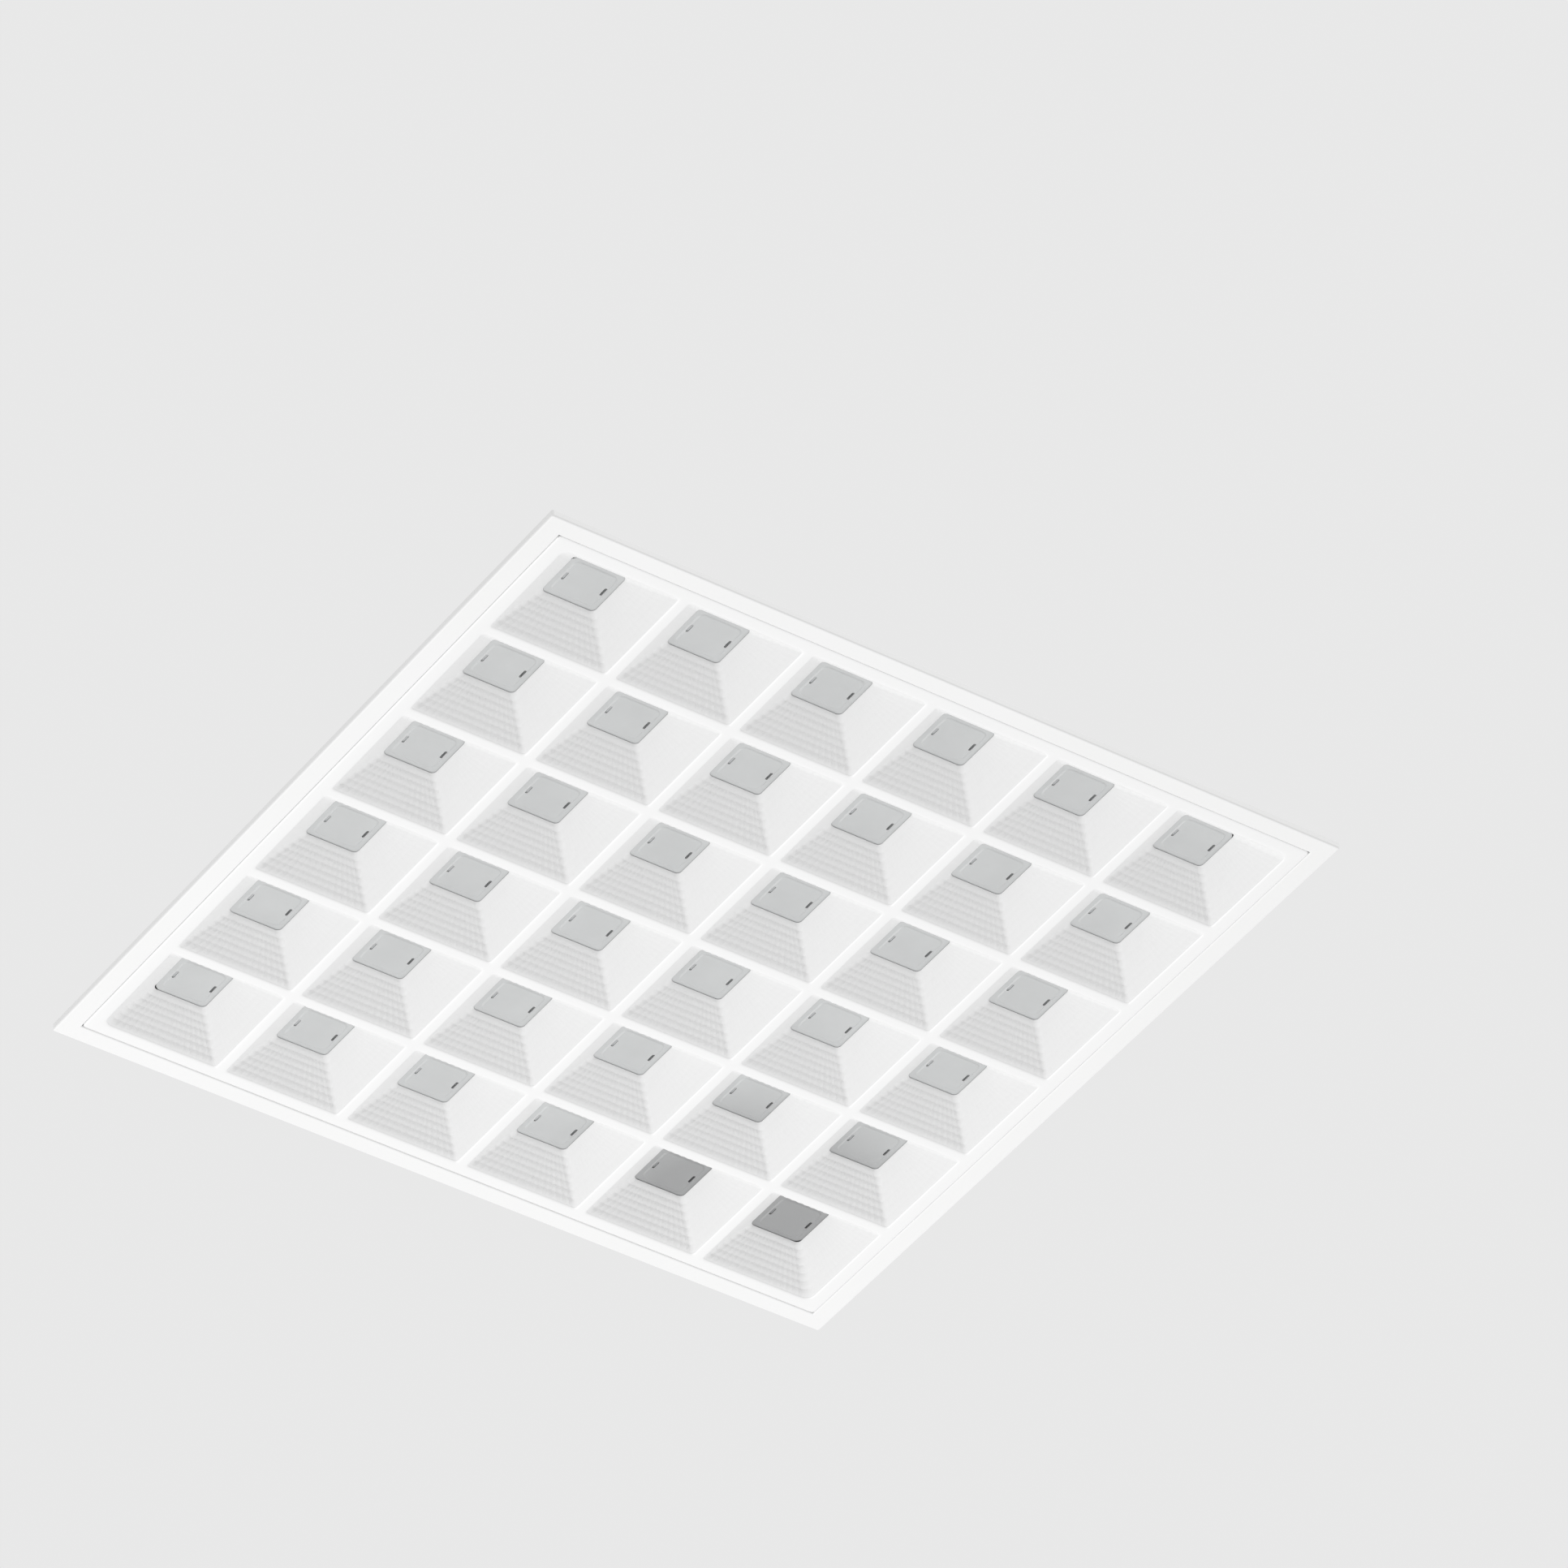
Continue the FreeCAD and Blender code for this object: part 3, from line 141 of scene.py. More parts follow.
class BoxSizes(PropertyGroup):
    box_length: length("Length", "Length of the driver box", 300.0)
    box_width: length("Width", "Width of the driver box", 120.0)
    box_height: length("Height", "Height of the driver box", 26.0)
    sheet: length("Sheet", "Thickness of the box and its lid", 1.0)
    lid_gap: length("Lid gap", "From the box's rim to the lid", 0.4)
    lid_overhang: length("Lid overhang", "How far the lid reaches past the box", 1.5)
    lid_flange: length("Lid flange", "How far the lid's edges turn down", 6.0)
    lid_edge: length("Lid edge", "Where the lid ends on its hinge side", 59.5)
    axis_across: length("Hinge across", "Place of the lid's axis", 62.8)
    axis_up: length("Hinge up", "Height of the lid's axis", 57.3)
    knuckle: length("Knuckle", "Radius of the rolled knuckles", 2.0)
    panel_rise: length("Panel rise", "How far the lid's middle is pressed up", 0.7)
    inlet_up: length("Inlet up", "Height of the cable inlet's axis", 41.5)
    inlet_hole: length("Inlet hole", "Radius of the hole that holds the inlet grommet", 6.8)
    lead_along: length("Lead hole along", "From the middle to the hole for the output leads", 135.0)
    lead_hole: length("Lead hole", "Radius of that hole", 4.5)


class ClipSizes(PropertyGroup):
    along: length("Along", "From the middle to a clip's pivot", 180.0)
    across: length("Across", "From the middle to a clip's pivot", 246.0)
    reach: length("Reach", "From the pivot to the tab", 58.0)
    width: length("Width", "Width of the arm", 18.0)
    sheet: length("Sheet", "Thickness of the arm", 1.5)
    foot: length("Foot", "Height of the arm's underside", 38.1)
    tab: length("Tab", "Height of the tab over the arm's underside", 9.0)
    bend: length("Bend", "Inner radius of the tab's bend", 1.2)
    eye: length("Eye", "Radius of the hole round the screw", 2.1)


class Colours(PropertyGroup):
    rim: paint("Rim", "Powder coat of the rim", (0.91, 0.91, 0.91))
    louvre: paint("Louvre", "White of the moulding", (0.92, 0.92, 0.92))
    # Painted shade: the wells' walls are painted darker than the bars, standing in for the shade inside them
    wells: paint("Wells", "Matt facets of the wells", (0.875, 0.875, 0.875))
    lens: paint("Lens", "Frosted lens strips", (0.58, 0.59, 0.59))
    # Painted shade: the tone laid over the lenses near one corner, standing in for shade there
    dark_lens: paint("Dark lens", "Frosted lenses beside one corner", (0.335, 0.338, 0.34))
    pan: paint("Pan", "Coated sheet of the pan", (0.86, 0.86, 0.85))


class StudioSettings(PropertyGroup):
    camera_place: FloatVectorProperty(
        name="Camera place", description="Where the camera stands", subtype="TRANSLATION",
        default=(-3.22725, -4.78873, -4.74085),
    )
    camera_aim: FloatVectorProperty(
        name="Camera aim", description="The point the camera looks at", subtype="TRANSLATION",
        default=(-0.03599, -0.16108, 0.0),
    )
    camera_roll: FloatProperty(
        name="Camera roll", description="Turn about the line of sight", subtype="ANGLE",
        default=math.radians(-1.393),
    )
    camera_lens: FloatProperty(name="Lens", description="Focal length in millimetres", default=268.06)
    floor_depth: length("Floor depth", "How far the floor lies below the light", 6400.0)
    ambient: FloatProperty(name="Ambient", description="Strength of the light from all around", default=0.77)
    backdrop: paint("Backdrop", "Pale tone behind the light", (0.81, 0.81, 0.81))


# Meshes

FLAT_GUARD = 0.05 * MM
ARC_STEPS = 5
CORNER_STEPS = 4
SLOT_STEPS = 8
TURN_STEPS = 32
THIRDS = (-1, 0, 1)
SIDES = (-1, 1)
SCREW_HOLE = 1.8 * MM
TIGHT_EDGE = 0.15 * MM
SHEET_CREASE, RIM_CREASE, LENS_CREASE, TURNED_CREASE = 30.0, 32.0, 35.0, 38.0


def shaded_object(name, mesh, work, crease_angle):
    """Finish a mesh from its bmesh, smooth but for its sharper edges, and show it as a new object."""
    bmesh.ops.recalc_face_normals(work, faces=work.faces)
    work.to_mesh(mesh)
    work.free()
    mesh.shade_smooth()
    if crease_angle:
        mesh.set_sharp_from_angle(angle=math.radians(crease_angle))
    piece = bpy.data.objects.new(name, mesh)
    bpy.context.scene.collection.objects.link(piece)
    return piece


def bmesh_object(name, work, crease_angle=SHEET_CREASE):
    """A new object from a finished bmesh."""
    return shaded_object(name, bpy.data.meshes.new(name), work, crease_angle)


def mesh_object(name, points, faces, crease_angle=None):
    """A new object from an array of points and a list of faces."""
    mesh = bpy.data.meshes.new(name)
    mesh.from_pydata(points.tolist(), [], faces)
    work = bmesh.new()
    work.from_mesh(mesh)
    return shaded_object(name, mesh, work, crease_angle)


def dress(piece, body, slot, node):
    """Let a piece ride on a body, take its slot's finish and stand for a CAD node."""
    piece.data.materials.append(bpy.data.materials[slot])
    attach(piece, body)
    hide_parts(node)


def join_rings(count, rings, closed=False):
    """Quads between each ring of points and the next, and from the last to the first."""
    here = np.arange(count)
    beside = (here + 1) % count
    pairs = [(ring, ring + 1) for ring in range(rings - 1)]
    if closed:
        pairs.append((rings - 1, 0))
    return np.concatenate([
        np.c_[a * count + here, a * count + beside, b * count + beside, b * count + here]
        for a, b in pairs
    ])


def edge_loop(work, ring):
    """Points of a ring and the edges that close it."""
    points = [work.verts.new(place) for place in ring]
    edges = [work.edges.new((here, points[index - 1])) for index, here in enumerate(points)]
    return points, edges


def wall(work, first, second):
    """Quads between two rings of points."""
    for index in range(len(first)):
        work.faces.new((first[index - 1], first[index], second[index], second[index - 1]))


def add_rings(work, rings):
    """Put rings into the mesh, join them, and give back the edges of the first and the last."""
    loops = [edge_loop(work, ring) for ring in rings]
    for (here, _), (ahead, _) in zip(loops, loops[1:]):
        wall(work, here, ahead)
    return loops[0][1], loops[-1][1]


def fill(work, *outlines):
    """Close each outline, given as its edges and those of the holes in it."""
    for edges in outlines:
        bmesh.ops.triangle_fill(work, use_beauty=True, edges=edges)


def square_ring(centre, half, height, radii, columns, swell=0.0, square=False):
    """A square outline with round corners, its columns swollen towards the middle. The half width
    and the swell may be one number or one along each axis, and the radius one number or one for
    each corner. With square, the corner points lie on the square itself, where the neighbours
    have theirs."""
    marks = np.arange(2 * columns)
    angles = np.arange(CORNER_STEPS) / CORNER_STEPS * QUARTER
    reach = np.maximum(np.cos(angles), np.sin(angles)) if square else 1.0
    halves, swells, radii = np.broadcast_to(half, 2), np.broadcast_to(swell, 2), np.broadcast_to(radii, 4)
    sides = []
    for side in range(4):
        before, after = radii[side - 1], radii[side]
        face, side_face = halves[side % 2], halves[(side + 1) % 2]
        out = np.r_[face - swells[side % 2] * (marks % 2), face - after + after * np.cos(angles) / reach]
        along = np.r_[
            before - side_face + marks / (2 * columns) * (2 * side_face - before - after),
            side_face - after + after * np.sin(angles) / reach,
        ]
        cosine, sine = math.cos(side * QUARTER), math.sin(side * QUARTER)
        sides.append(np.c_[out, along] @ np.array([[cosine, -sine], [sine, cosine]]).T)
    flat = np.concatenate(sides) + centre
    return np.c_[flat, np.full(len(flat), height)]


def round_ring(centre, radius, height, reach=(0.0, 0.0)):
    """A circle, or with a reach the outline of a slot with round ends along one axis."""
    turn = math.atan2(reach[1], reach[0]) - QUARTER if any(reach) else 0.0
    ring = []
    for end in (1, -1):
        for step in range(SLOT_STEPS + any(reach)):
            angle = turn + math.pi * step / SLOT_STEPS
            ring.append((centre[0] + end * (reach[0] + radius * math.cos(angle)),
                         centre[1] + end * (reach[1] + radius * math.sin(angle)), height))
    return ring


def rounded_polygon(section):
    """The outline of a section given as corners with their radii. Each corner is turned into an arc,
    with a point just past each end of it that keeps the flats flat when they are shaded."""
    outline = []
    corners = [Vector(corner) for corner, radius in section]
    for index, (corner, radius) in enumerate(section):
        here = corners[index]
        back = (corners[index - 1] - here).normalized()
        ahead = (corners[(index + 1) % len(corners)] - here).normalized()
        half = back.angle(ahead) / 2
        run = radius / math.tan(half)
        middle = here + (back + ahead).normalized() * radius / math.sin(half)
        start, end = here + back * run - middle, here + ahead * run - middle
        outline.append(here + back * (run + FLAT_GUARD))
        for step in range(ARC_STEPS + 1):
            spoke = start.lerp(end, step / ARC_STEPS)
            outline.append(middle + spoke.normalized() * radius)
        outline.append(here + ahead * (run + FLAT_GUARD))
    return outline


def crease(piece, *lines):
    """Keep an edge sharp where both its ends lie on the same numbered line."""
    mesh = piece.data
    ends = np.empty(len(mesh.edges) * 2, dtype=np.int32)
    mesh.edges.foreach_get("vertices", ends)
    sharp = np.zeros(len(mesh.edges), dtype=bool)
    for numbers in lines:
        first, second = numbers[ends[::2]], numbers[ends[1::2]]
        sharp |= (first == second) & (first > 0)
    mesh.attributes.new("sharp_edge", "BOOLEAN", "EDGE").data.foreach_set("value", sharp)


def cell_middle(index, louvre):
    """The middle of one row or column of wells."""
    return (index - (louvre.cells - 1) / 2) * louvre.pitch


# Louvre

FIRST_WALL_RING = 5
FIRST_SHARP_BORDER_RING = 6
BACK_BEVEL = 0.4 * MM
THROAT_LIP = 0.2 * MM
BOSS_RADIUS = 1.2 * MM
COLUMN_AT_THROAT, COLUMN_BETWEEN_ROWS, THROAT_FADE = 0.6, 0.4, 4
SOFT_CROWN = ((0.05, 0.62), (0.12, 0.36), (0.25, 0.15), (0.5, 0.03))


def well_corners(column, row, sizes):
    """Corner radii of one well, larger where it fills a corner of the louvre."""
    last = sizes.cells - 1
    ends = ((last, last), (0, last), (0, 0), (last, 0))
    return [sizes.outer_corner if (column, row) == end else sizes.corner for end in ends]


def well_slope(sizes):
    """Half the width of a mouth, and how far a wall leans outwards for its depth."""
    mouth = (sizes.pitch - sizes.bar) / 2
    return mouth, (mouth - sizes.throat / 2) / (LOUVRE_HIGH.z - sizes.crown)


def well_rings(column, row, sizes):
    """Rings from the plate's back over the throat and down the faceted walls to the bars, each
    with whether it stays sharp."""
    depth, throat = LOUVRE_HIGH.z, sizes.throat / 2
    mouth, slope = well_slope(sizes)
    corners = well_corners(column, row, sizes)
    centre = (cell_middle(column, sizes), cell_middle(row, sizes))

    def ring(half, height, radii=corners, swell=0.0, square=False):
        return square_ring(centre, half, height, radii, sizes.columns, swell, square)

    foot = mouth - slope * (sizes.plate - sizes.crown) + sizes.wall
    rings = [
        (ring(sizes.pitch / 2, sizes.plate, sizes.bar / 2, square=True), False),
        (ring(foot, sizes.plate), True),
        (ring(throat + sizes.wall, depth - BACK_BEVEL), True),
        (ring(throat + sizes.wall - BACK_BEVEL, depth), True),
        (ring(throat + THROAT_LIP, depth), True),
    ]
    for step in range(2 * sizes.rows + 1):
        share, crest = step / (2 * sizes.rows), step % 2
        height = depth - (depth - sizes.crown) * share
        half = throat + (mouth - throat) * share - crest * np.array([sizes.cross_swell, sizes.row_swell])
        radii = [sizes.throat_corner + (radius - sizes.throat_corner) * share for radius in corners]
        fullness = COLUMN_AT_THROAT + (1 - COLUMN_AT_THROAT) * share
        fullness *= COLUMN_BETWEEN_ROWS + (1 - COLUMN_BETWEEN_ROWS) * crest
        fullness *= min(1.0, THROAT_FADE * share)
        swell = np.array([sizes.cross_column_swell, sizes.column_swell]) * fullness
        rings.append((ring(half, height, radii, swell), not crest))
    for share, drop in SOFT_CROWN:
        rings.append((ring(mouth + share * sizes.bar / 2, drop * sizes.crown), False))
    rings.append((ring(sizes.pitch / 2, 0.0, sizes.bar / 2, square=True), False))
    return rings


def border_marks(sizes):
    """Places of the points along one side of the wells' field."""
    half, share = sizes.pitch / 2, sizes.bar / 2
    angles = np.arange(CORNER_STEPS // 2) / CORNER_STEPS * QUARTER
    corner = half - share + share * np.tan(angles)
    straight = np.linspace(share - half, half - share, 2 * sizes.columns + 1)
    cell = np.r_[-half, -corner[:0:-1], straight, corner[1:]]
    return np.concatenate([cell + cell_middle(index, sizes) for index in range(sizes.cells)])


def border_ring(marks, field, half, height, radius):
    """The field's outline blown up to a larger square with round corners."""
    marks = marks * half / field
    side = np.c_[np.full(len(marks), half), marks]
    core = half - radius
    beyond = np.minimum(np.abs(marks) - core, radius)
    turned = beyond > 0
    bent = np.c_[np.full(turned.sum(), radius), beyond[turned]]
    bent *= radius / np.linalg.norm(bent, axis=1)[:, None]
    side[turned, 0] = core + bent[:, 0]
    side[turned, 1] = np.sign(marks[turned]) * (core + bent[:, 1])
    ring = np.concatenate([
        side, np.c_[-side[:, 1], side[:, 0]], -side, np.c_[side[:, 1], -side[:, 0]]
    ])
    return np.c_[ring, np.full(len(ring), height)]


def border_rings(sizes, opening):
    """Rings over the border's crest to its thin edge, up the skirt and back to the plate behind it."""
    field = sizes.cells * sizes.pitch / 2
    edge = opening / 2 - sizes.edge_gap
    hinge_edge = opening / 2 - sizes.hinge_gap
    outer = LOUVRE_HIGH.x
    inner = outer - sizes.skirt_wall
    top, soft = sizes.skirt_height, 0.3 * MM
    profile = [
        (field, 0.0, 0.0), (field + 2.4 * MM, 0.03 * MM, 0.8 * MM), (field + 4.4 * MM, 0.08 * MM, 1.4 * MM),
        (edge - 0.5 * MM, 0.16 * MM, 1.8 * MM), (edge - 0.12 * MM, 0.32 * MM, 2.1 * MM),
        (edge, 0.6 * MM, 2.2 * MM), (edge, 1.1 * MM, 2.2 * MM), (outer, 1.5 * MM, 2.0 * MM),
        (outer, top - soft, 2.0 * MM), (outer - soft, top, 1.8 * MM), (inner + soft, top, 0.8 * MM),
        (inner, top - soft, 0.7 * MM), (inner, sizes.plate, 0.7 * MM), (field, sizes.plate, 0.0),
    ]
    marks = border_marks(sizes)
    rings = [border_ring(marks, field, half, height, radius) for half, height, radius in profile]
    for ring in rings:
        ring[:, 1] = np.minimum(ring[:, 1], hinge_edge)
    return rings


def boss_rings(side, sizes):
    """The block that holds a hinge pin, between the skirt and the sloping wall of the end well."""
    outer, margin, soft = LOUVRE_HIGH.x, 0.9 * MM, 0.3 * MM
    mouth, slope = well_slope(sizes)
    mouth_edge = (sizes.cells - 1) / 2 * sizes.pitch + mouth
    low, high = sizes.plate / 2, sizes.skirt_height
    rings = []
    for inwards, height in ((soft, low), (soft / 2, high - soft), (soft, high - soft / 4), (2 * soft, high)):
        inner = mouth_edge - slope * (height - sizes.crown) + margin
        half = (outer - inner) / 2
        centre = np.array([side * (outer - half), outer - half])
        rings.append(square_ring(centre, half - inwards, height, BOSS_RADIUS, 2))
    return rings


def make_louvre(sizes, opening):
    """One moulding: the wells, the border with its skirt, and the two hinge bosses."""
    points, faces, ring_lines, facet_lines = [], [], [], []
    facets = 2 * sizes.columns

    def add(rings, sharp, walls=(), capped=False):
        """Join rings, and number those that stay sharp and the facets' edges up the walls."""
        first, count = sum(map(len, points)), len(rings[0])
        last = first + count * len(rings)
        along = np.arange(count)
        edges = np.where(along % (facets + CORNER_STEPS) < facets, first + along + 1, 0)
        faces.extend((join_rings(count, len(rings)) + first).tolist())
        if capped:
            faces.extend([list(range(first, first + count)), list(range(last - count, last))])
        for index, ring in enumerate(rings):
            points.append(ring)
            ring_lines.append(np.full(count, first + index + 1 if sharp[index] else 0))
            facet_lines.append(edges if index in walls else np.zeros(count, dtype=int))

    for column in range(sizes.cells):
        for row in range(sizes.cells):
            rings, sharp = zip(*well_rings(column, row, sizes))
            add(rings, sharp, range(FIRST_WALL_RING, len(rings) - len(SOFT_CROWN) - 1))
    rings = border_rings(sizes, opening)
    add(rings, [index >= FIRST_SHARP_BORDER_RING for index in range(len(rings))])
    for side in SIDES:
        rings = boss_rings(side, sizes)
        add(rings, [True] * len(rings), capped=True)
    piece = mesh_object("louvre_moulding", np.concatenate(points), faces)
    crease(piece, np.concatenate(ring_lines), np.concatenate(facet_lines))
    weld(piece)
    return piece


def weld(piece):
    """Merge the points that neighbouring rings share."""
    work = bmesh.new()
    work.from_mesh(piece.data)
    loose = [point for point in work.verts if point.is_boundary]
    bmesh.ops.remove_doubles(work, verts=loose, dist=0.02 * MM)
    bmesh.ops.recalc_face_normals(work, faces=work.faces)
    work.to_mesh(piece.data)
    work.free()


# Lens strips

CORNER_GROWTH = 0.8
LENS_STEPS = (
    (0.6, 0.0), (0.5, 0.0), (0.25, 0.1), (0.0, 0.4), (-0.25, 0.7), (-0.5, 0.94), (-0.7, 1.0), (-0.8, 1.0),
)


def slot_ring(centre, sizes, height):
    """The outline of a lens's slot, long across the strip."""
    radius = sizes.slot_width / 2
    return round_ring(centre, radius, height, (0.0, sizes.slot_length / 2 - radius))


def strip_ring(middle, sizes, height):
    """The outline of a lens strip with round corners."""
    radius = sizes.pad_radius / 2
    half = np.array([sizes.strip_length / 2, sizes.strip_width / 2])
    ring = square_ring((0, 0), 2 * radius, height, radius, 1)
    ring[:, :2] += np.sign(ring[:, :2]) * (half - 2 * radius)
    ring[:, 1] += middle
    return ring


def lens_rings(centre, sizes):
    """Rings from the strip's face over the softened edge of a raised lens."""
    half, radius = sizes.pad / 2, sizes.pad_radius
    return [square_ring(centre, half + out * MM, sizes.strip_face - share * sizes.pad_height,
                        radius + CORNER_GROWTH * out * MM, 3) for out, share in LENS_STEPS]


def make_lens_row(name, middle, louvre, sizes):
    """One strip: a raised rounded lens for each well, with a slot through it and a blind one."""
    work = bmesh.new()
    foot, top, face = sizes.strip_face, sizes.strip_back, sizes.strip_face - sizes.pad_height
    low, high = add_rings(work, [strip_ring(middle, sizes, height) for height in (foot, top)])
    for column in range(louvre.cells):
        centre = np.array([cell_middle(column, louvre), middle])
        edge, lens_face = add_rings(work, lens_rings(centre, sizes))
        low += edge
        for side, end in ((1, top), (-1, face + sizes.blind_depth)):
            place = centre + np.array([side * sizes.slot_offset, 0.0])
            mouth, deep = add_rings(work, [slot_ring(place, sizes, height) for height in (face, end)])
            lens_face += mouth
            if side > 0:
                high += deep
            else:
                work.faces.new([edge.verts[0] for edge in deep])
        fill(work, lens_face)
    for step in THIRDS:
        place = (step * 2 * louvre.pitch, middle)
        mouth, deep = add_rings(work, [round_ring(place, SCREW_HOLE, height) for height in (foot, top)])
        low += mouth
        high += deep
    fill(work, low, high)
    return bmesh_object(name, work, LENS_CREASE)


# Rim

RIM_INNER_CORNER = 0.3 * MM


def make_rim(sizes):
    """A channel rolled from sheet and run round the square."""
    outer, inner, lip = RIM_HIGH.x, sizes.opening / 2, sizes.lip / 2
    sheet, bend, tight = sizes.sheet, sizes.bend, TIGHT_EDGE
    section = (
        ((inner, 0.0), bend), ((outer, 0.0), bend), ((outer, sizes.edge), tight),
        ((outer - sheet, sizes.edge), tight), ((outer - sheet, sheet), tight),
        ((inner + sheet, sheet), tight), ((inner + sheet, sizes.web - sheet), tight),
        ((lip, sizes.web - sheet), tight), ((lip, sizes.web), tight), ((inner, sizes.web), bend),
    )
    rings = [square_ring((0, 0), half, height, max(RIM_INNER_CORNER, sizes.corner - (outer - half)), 1)
             for half, height in rounded_polygon(section)]
    faces = join_rings(len(rings[0]), len(rings), closed=True).tolist()
    return mesh_object("rim_channel", np.concatenate(rings), faces, RIM_CREASE)


# Turned pieces

TINY = 1e-9


def cross_reach(angles, reach, half):
    """How far a cross-shaped recess reaches in each direction."""
    cosines, sines = np.abs(np.cos(angles)), np.abs(np.sin(angles))
    across = np.maximum(np.minimum(cosines, sines), TINY)
    return np.minimum(reach / np.maximum(cosines, sines), half / across)


def turned(name, places, profile, along="Z", closed=False):
    """Like pieces of revolution at several places. The profile gives the reach and height of each
    ring in millimetres, and a pair in place of a reach is a cross's reach and half width."""
    angles = (np.arange(TURN_STEPS) + 0.5) / TURN_STEPS * 2 * math.pi
    rings = []
    for reach, height in profile:
        spoke = cross_reach(angles, *reach) if isinstance(reach, tuple) else reach
        rings.append(np.c_[spoke * np.cos(angles), spoke * np.sin(angles), np.full(TURN_STEPS, height)])
    shape = np.concatenate(rings) * MM
    shape = shape[:, {"X": [2, 0, 1], "Y": [1, 2, 0], "Z": [0, 1, 2]}[along]]
    sides = join_rings(TURN_STEPS, len(rings), closed)
    points, faces = [], []
    for place in places:
        first = len(points) * len(shape)
        points.append(shape + np.array(place))
        faces += (sides + first).tolist()
        if not closed:
            last = first + len(shape)
            faces += [list(range(first, first + TURN_STEPS)), list(range(last - TURN_STEPS, last))]
    return mesh_object(name, np.concatenate(points), faces, TURNED_CREASE)


def rivet_places():
    """Three rivets along each side of the rim."""
    line, spacing = 289.6 * MM, 200.0 * MM
    places = []
    for side in SIDES:
        for step in THIRDS:
            places += [(step * spacing, side * line, 0.0), (side * line, step * spacing, 0.0)]
    return places


def board_screw_places(louvre):
    """Three screws along each board, between the wells."""
    return [(step * 2 * louvre.pitch, cell_middle(row, louvre), 0.0)
            for row in range(louvre.cells) for step in THIRDS]


def clip_places(sizes):
    """The pivots of the four clips, counted row by row."""
    return [(along * sizes.along, across * sizes.across, 0.0) for across in SIDES for along in SIDES]


RIVET = (
    (0.5, 7.0), (1.5, 7.06), (2.2, 7.32), (2.5, 7.75), (2.5, 8.0), (1.6, 8.0), (1.6, 9.8), (2.5, 9.8),
    (2.48, 10.05), (2.1, 10.45), (1.5, 10.7), (1.05, 10.78), (0.9, 10.7), (0.85, 10.25), (0.3, 10.2),
)
BOARD_SCREW = (
    ((0.9, 0.28), 23.9), ((1.75, 0.42), 22.86), (1.95, 22.8), (2.5, 22.93), (2.82, 23.3), (2.9, 23.7),
    (2.88, 24.58), (1.5, 24.6), (1.5, 30.15), (1.2, 30.42), (0.6, 30.46),
)
CLIP_SCREW = (
    (1.6, 30.42), (2.0, 30.7), (2.0, 39.7), (3.95, 39.7), (4.0, 39.9), (3.95, 40.7), (3.5, 41.5),
    (2.9, 41.93), (2.4, 42.08), ((2.15, 0.5), 42.0), ((1.1, 0.32), 40.5),
)
CLIP_POST = (
    (2.02, 30.45), (4.7, 30.42), (5.0, 30.7), (5.0, 37.6), (4.7, 37.98), (2.4, 37.98), (2.02, 37.7),
)
DRIVER_SCREW = (
    (1.2, 31.42), (1.75, 31.8), (1.75, 34.38), (3.35, 34.42), (3.4, 34.6), (3.3, 35.3), (2.8, 35.9),
    (2.2, 36.15), ((1.8, 0.45), 36.1), ((0.9, 0.3), 34.9),
)
EARTH_STUD = (
    (3.4, 31.42), (3.6, 31.7), (3.6, 36.1), (3.4, 36.38), (2.0, 36.38),
    *((2.0 - 0.26 * (step % 2), 36.6 + 0.35 * step) for step in range(21)), (1.5, 44.0), (1.1, 44.35),
)
INLET_GROMMET = (
    (5.0, -2.0), (5.4, -2.4), (6.4, -2.5), (8.0, -2.3), (8.7, -1.7), (8.8, -0.8), (8.6, -0.05), (6.75, 0.0),
    (6.75, 1.0), (8.6, 1.05), (8.8, 1.8), (8.4, 3.0), (7.6, 3.45), (6.2, 3.5), (5.3, 3.4), (5.0, 3.0),
)
HINGE_PIN = ((0.9, 0.05), (1.15, 0.2), (1.25, 0.5), (1.25, 15.5), (1.15, 15.8), (0.9, 15.95))
LID_PIN = ((0.7, 0.05), (0.9, 0.15), (1.0, 0.4), (1.0, 42.0), (0.9, 42.25), (0.7, 42.35))
LEAD_GROMMET = (
    (3.0, 27.6), (3.3, 27.2), (4.2, 27.1), (5.9, 27.3), (6.5, 28.0), (6.4, 29.55), (4.45, 29.6),
    (4.45, 31.4), (6.4, 31.45), (6.5, 33.0), (5.9, 33.7), (4.2, 33.9), (3.3, 33.8), (3.0, 33.4),
)

# In millimetres
STUD_PLACE = (-75.0, 42.0, 0.0)
DOOR_PIN_ACROSS, DOOR_PIN_UP = 274.5, 3.2
COVER_PIN_ACROSS, COVER_PIN_UP = 62.8, 57.3


# Pressed and folded sheet

BEAD_STEPS = ((-0.1, 0.0), (0.0, 0.0), (0.5, 0.1), (1.2, 0.6), (1.9, 0.92), (2.7, 1.0), (2.8, 1.0))
PANEL_STEPS = ((-0.1, 0.0), (0.0, 0.0), (0.3, 0.1), (0.8, 0.6), (1.3, 0.92), (1.9, 1.0), (2.0, 1.0))
SHEET_COLUMNS = 24
TIGHT_FOLD, INNER_FOLD, COVER_INNER_FOLD = 0.2 * MM, 0.6 * MM, 0.4 * MM
PAN_FOOT_FOLD, BOX_FOLD, COVER_FOLD = 1.2 * MM, 1.6 * MM, 1.3 * MM
PAN_CORNER, BOX_CORNER, COVER_CORNER = 3.0 * MM, 1.8 * MM, 2.0 * MM
OPEN_END = 0.1 * MM
PAN_FLAT, BOX_FLAT, COVER_FLAT = 4.0 * MM, 15.0 * MM, 12.0 * MM
PANEL_MARGIN, PANEL_CORNER = np.array([22.0, 17.0]) * MM, 6.0 * MM
LONG_BEAD, SHORT_BEAD, SHORT_BEAD_ALONG = 215.0 * MM, 34.0 * MM, 210.0 * MM
HANGER_RING, HANGER_RISE = 8.0 * MM, 0.6 * MM
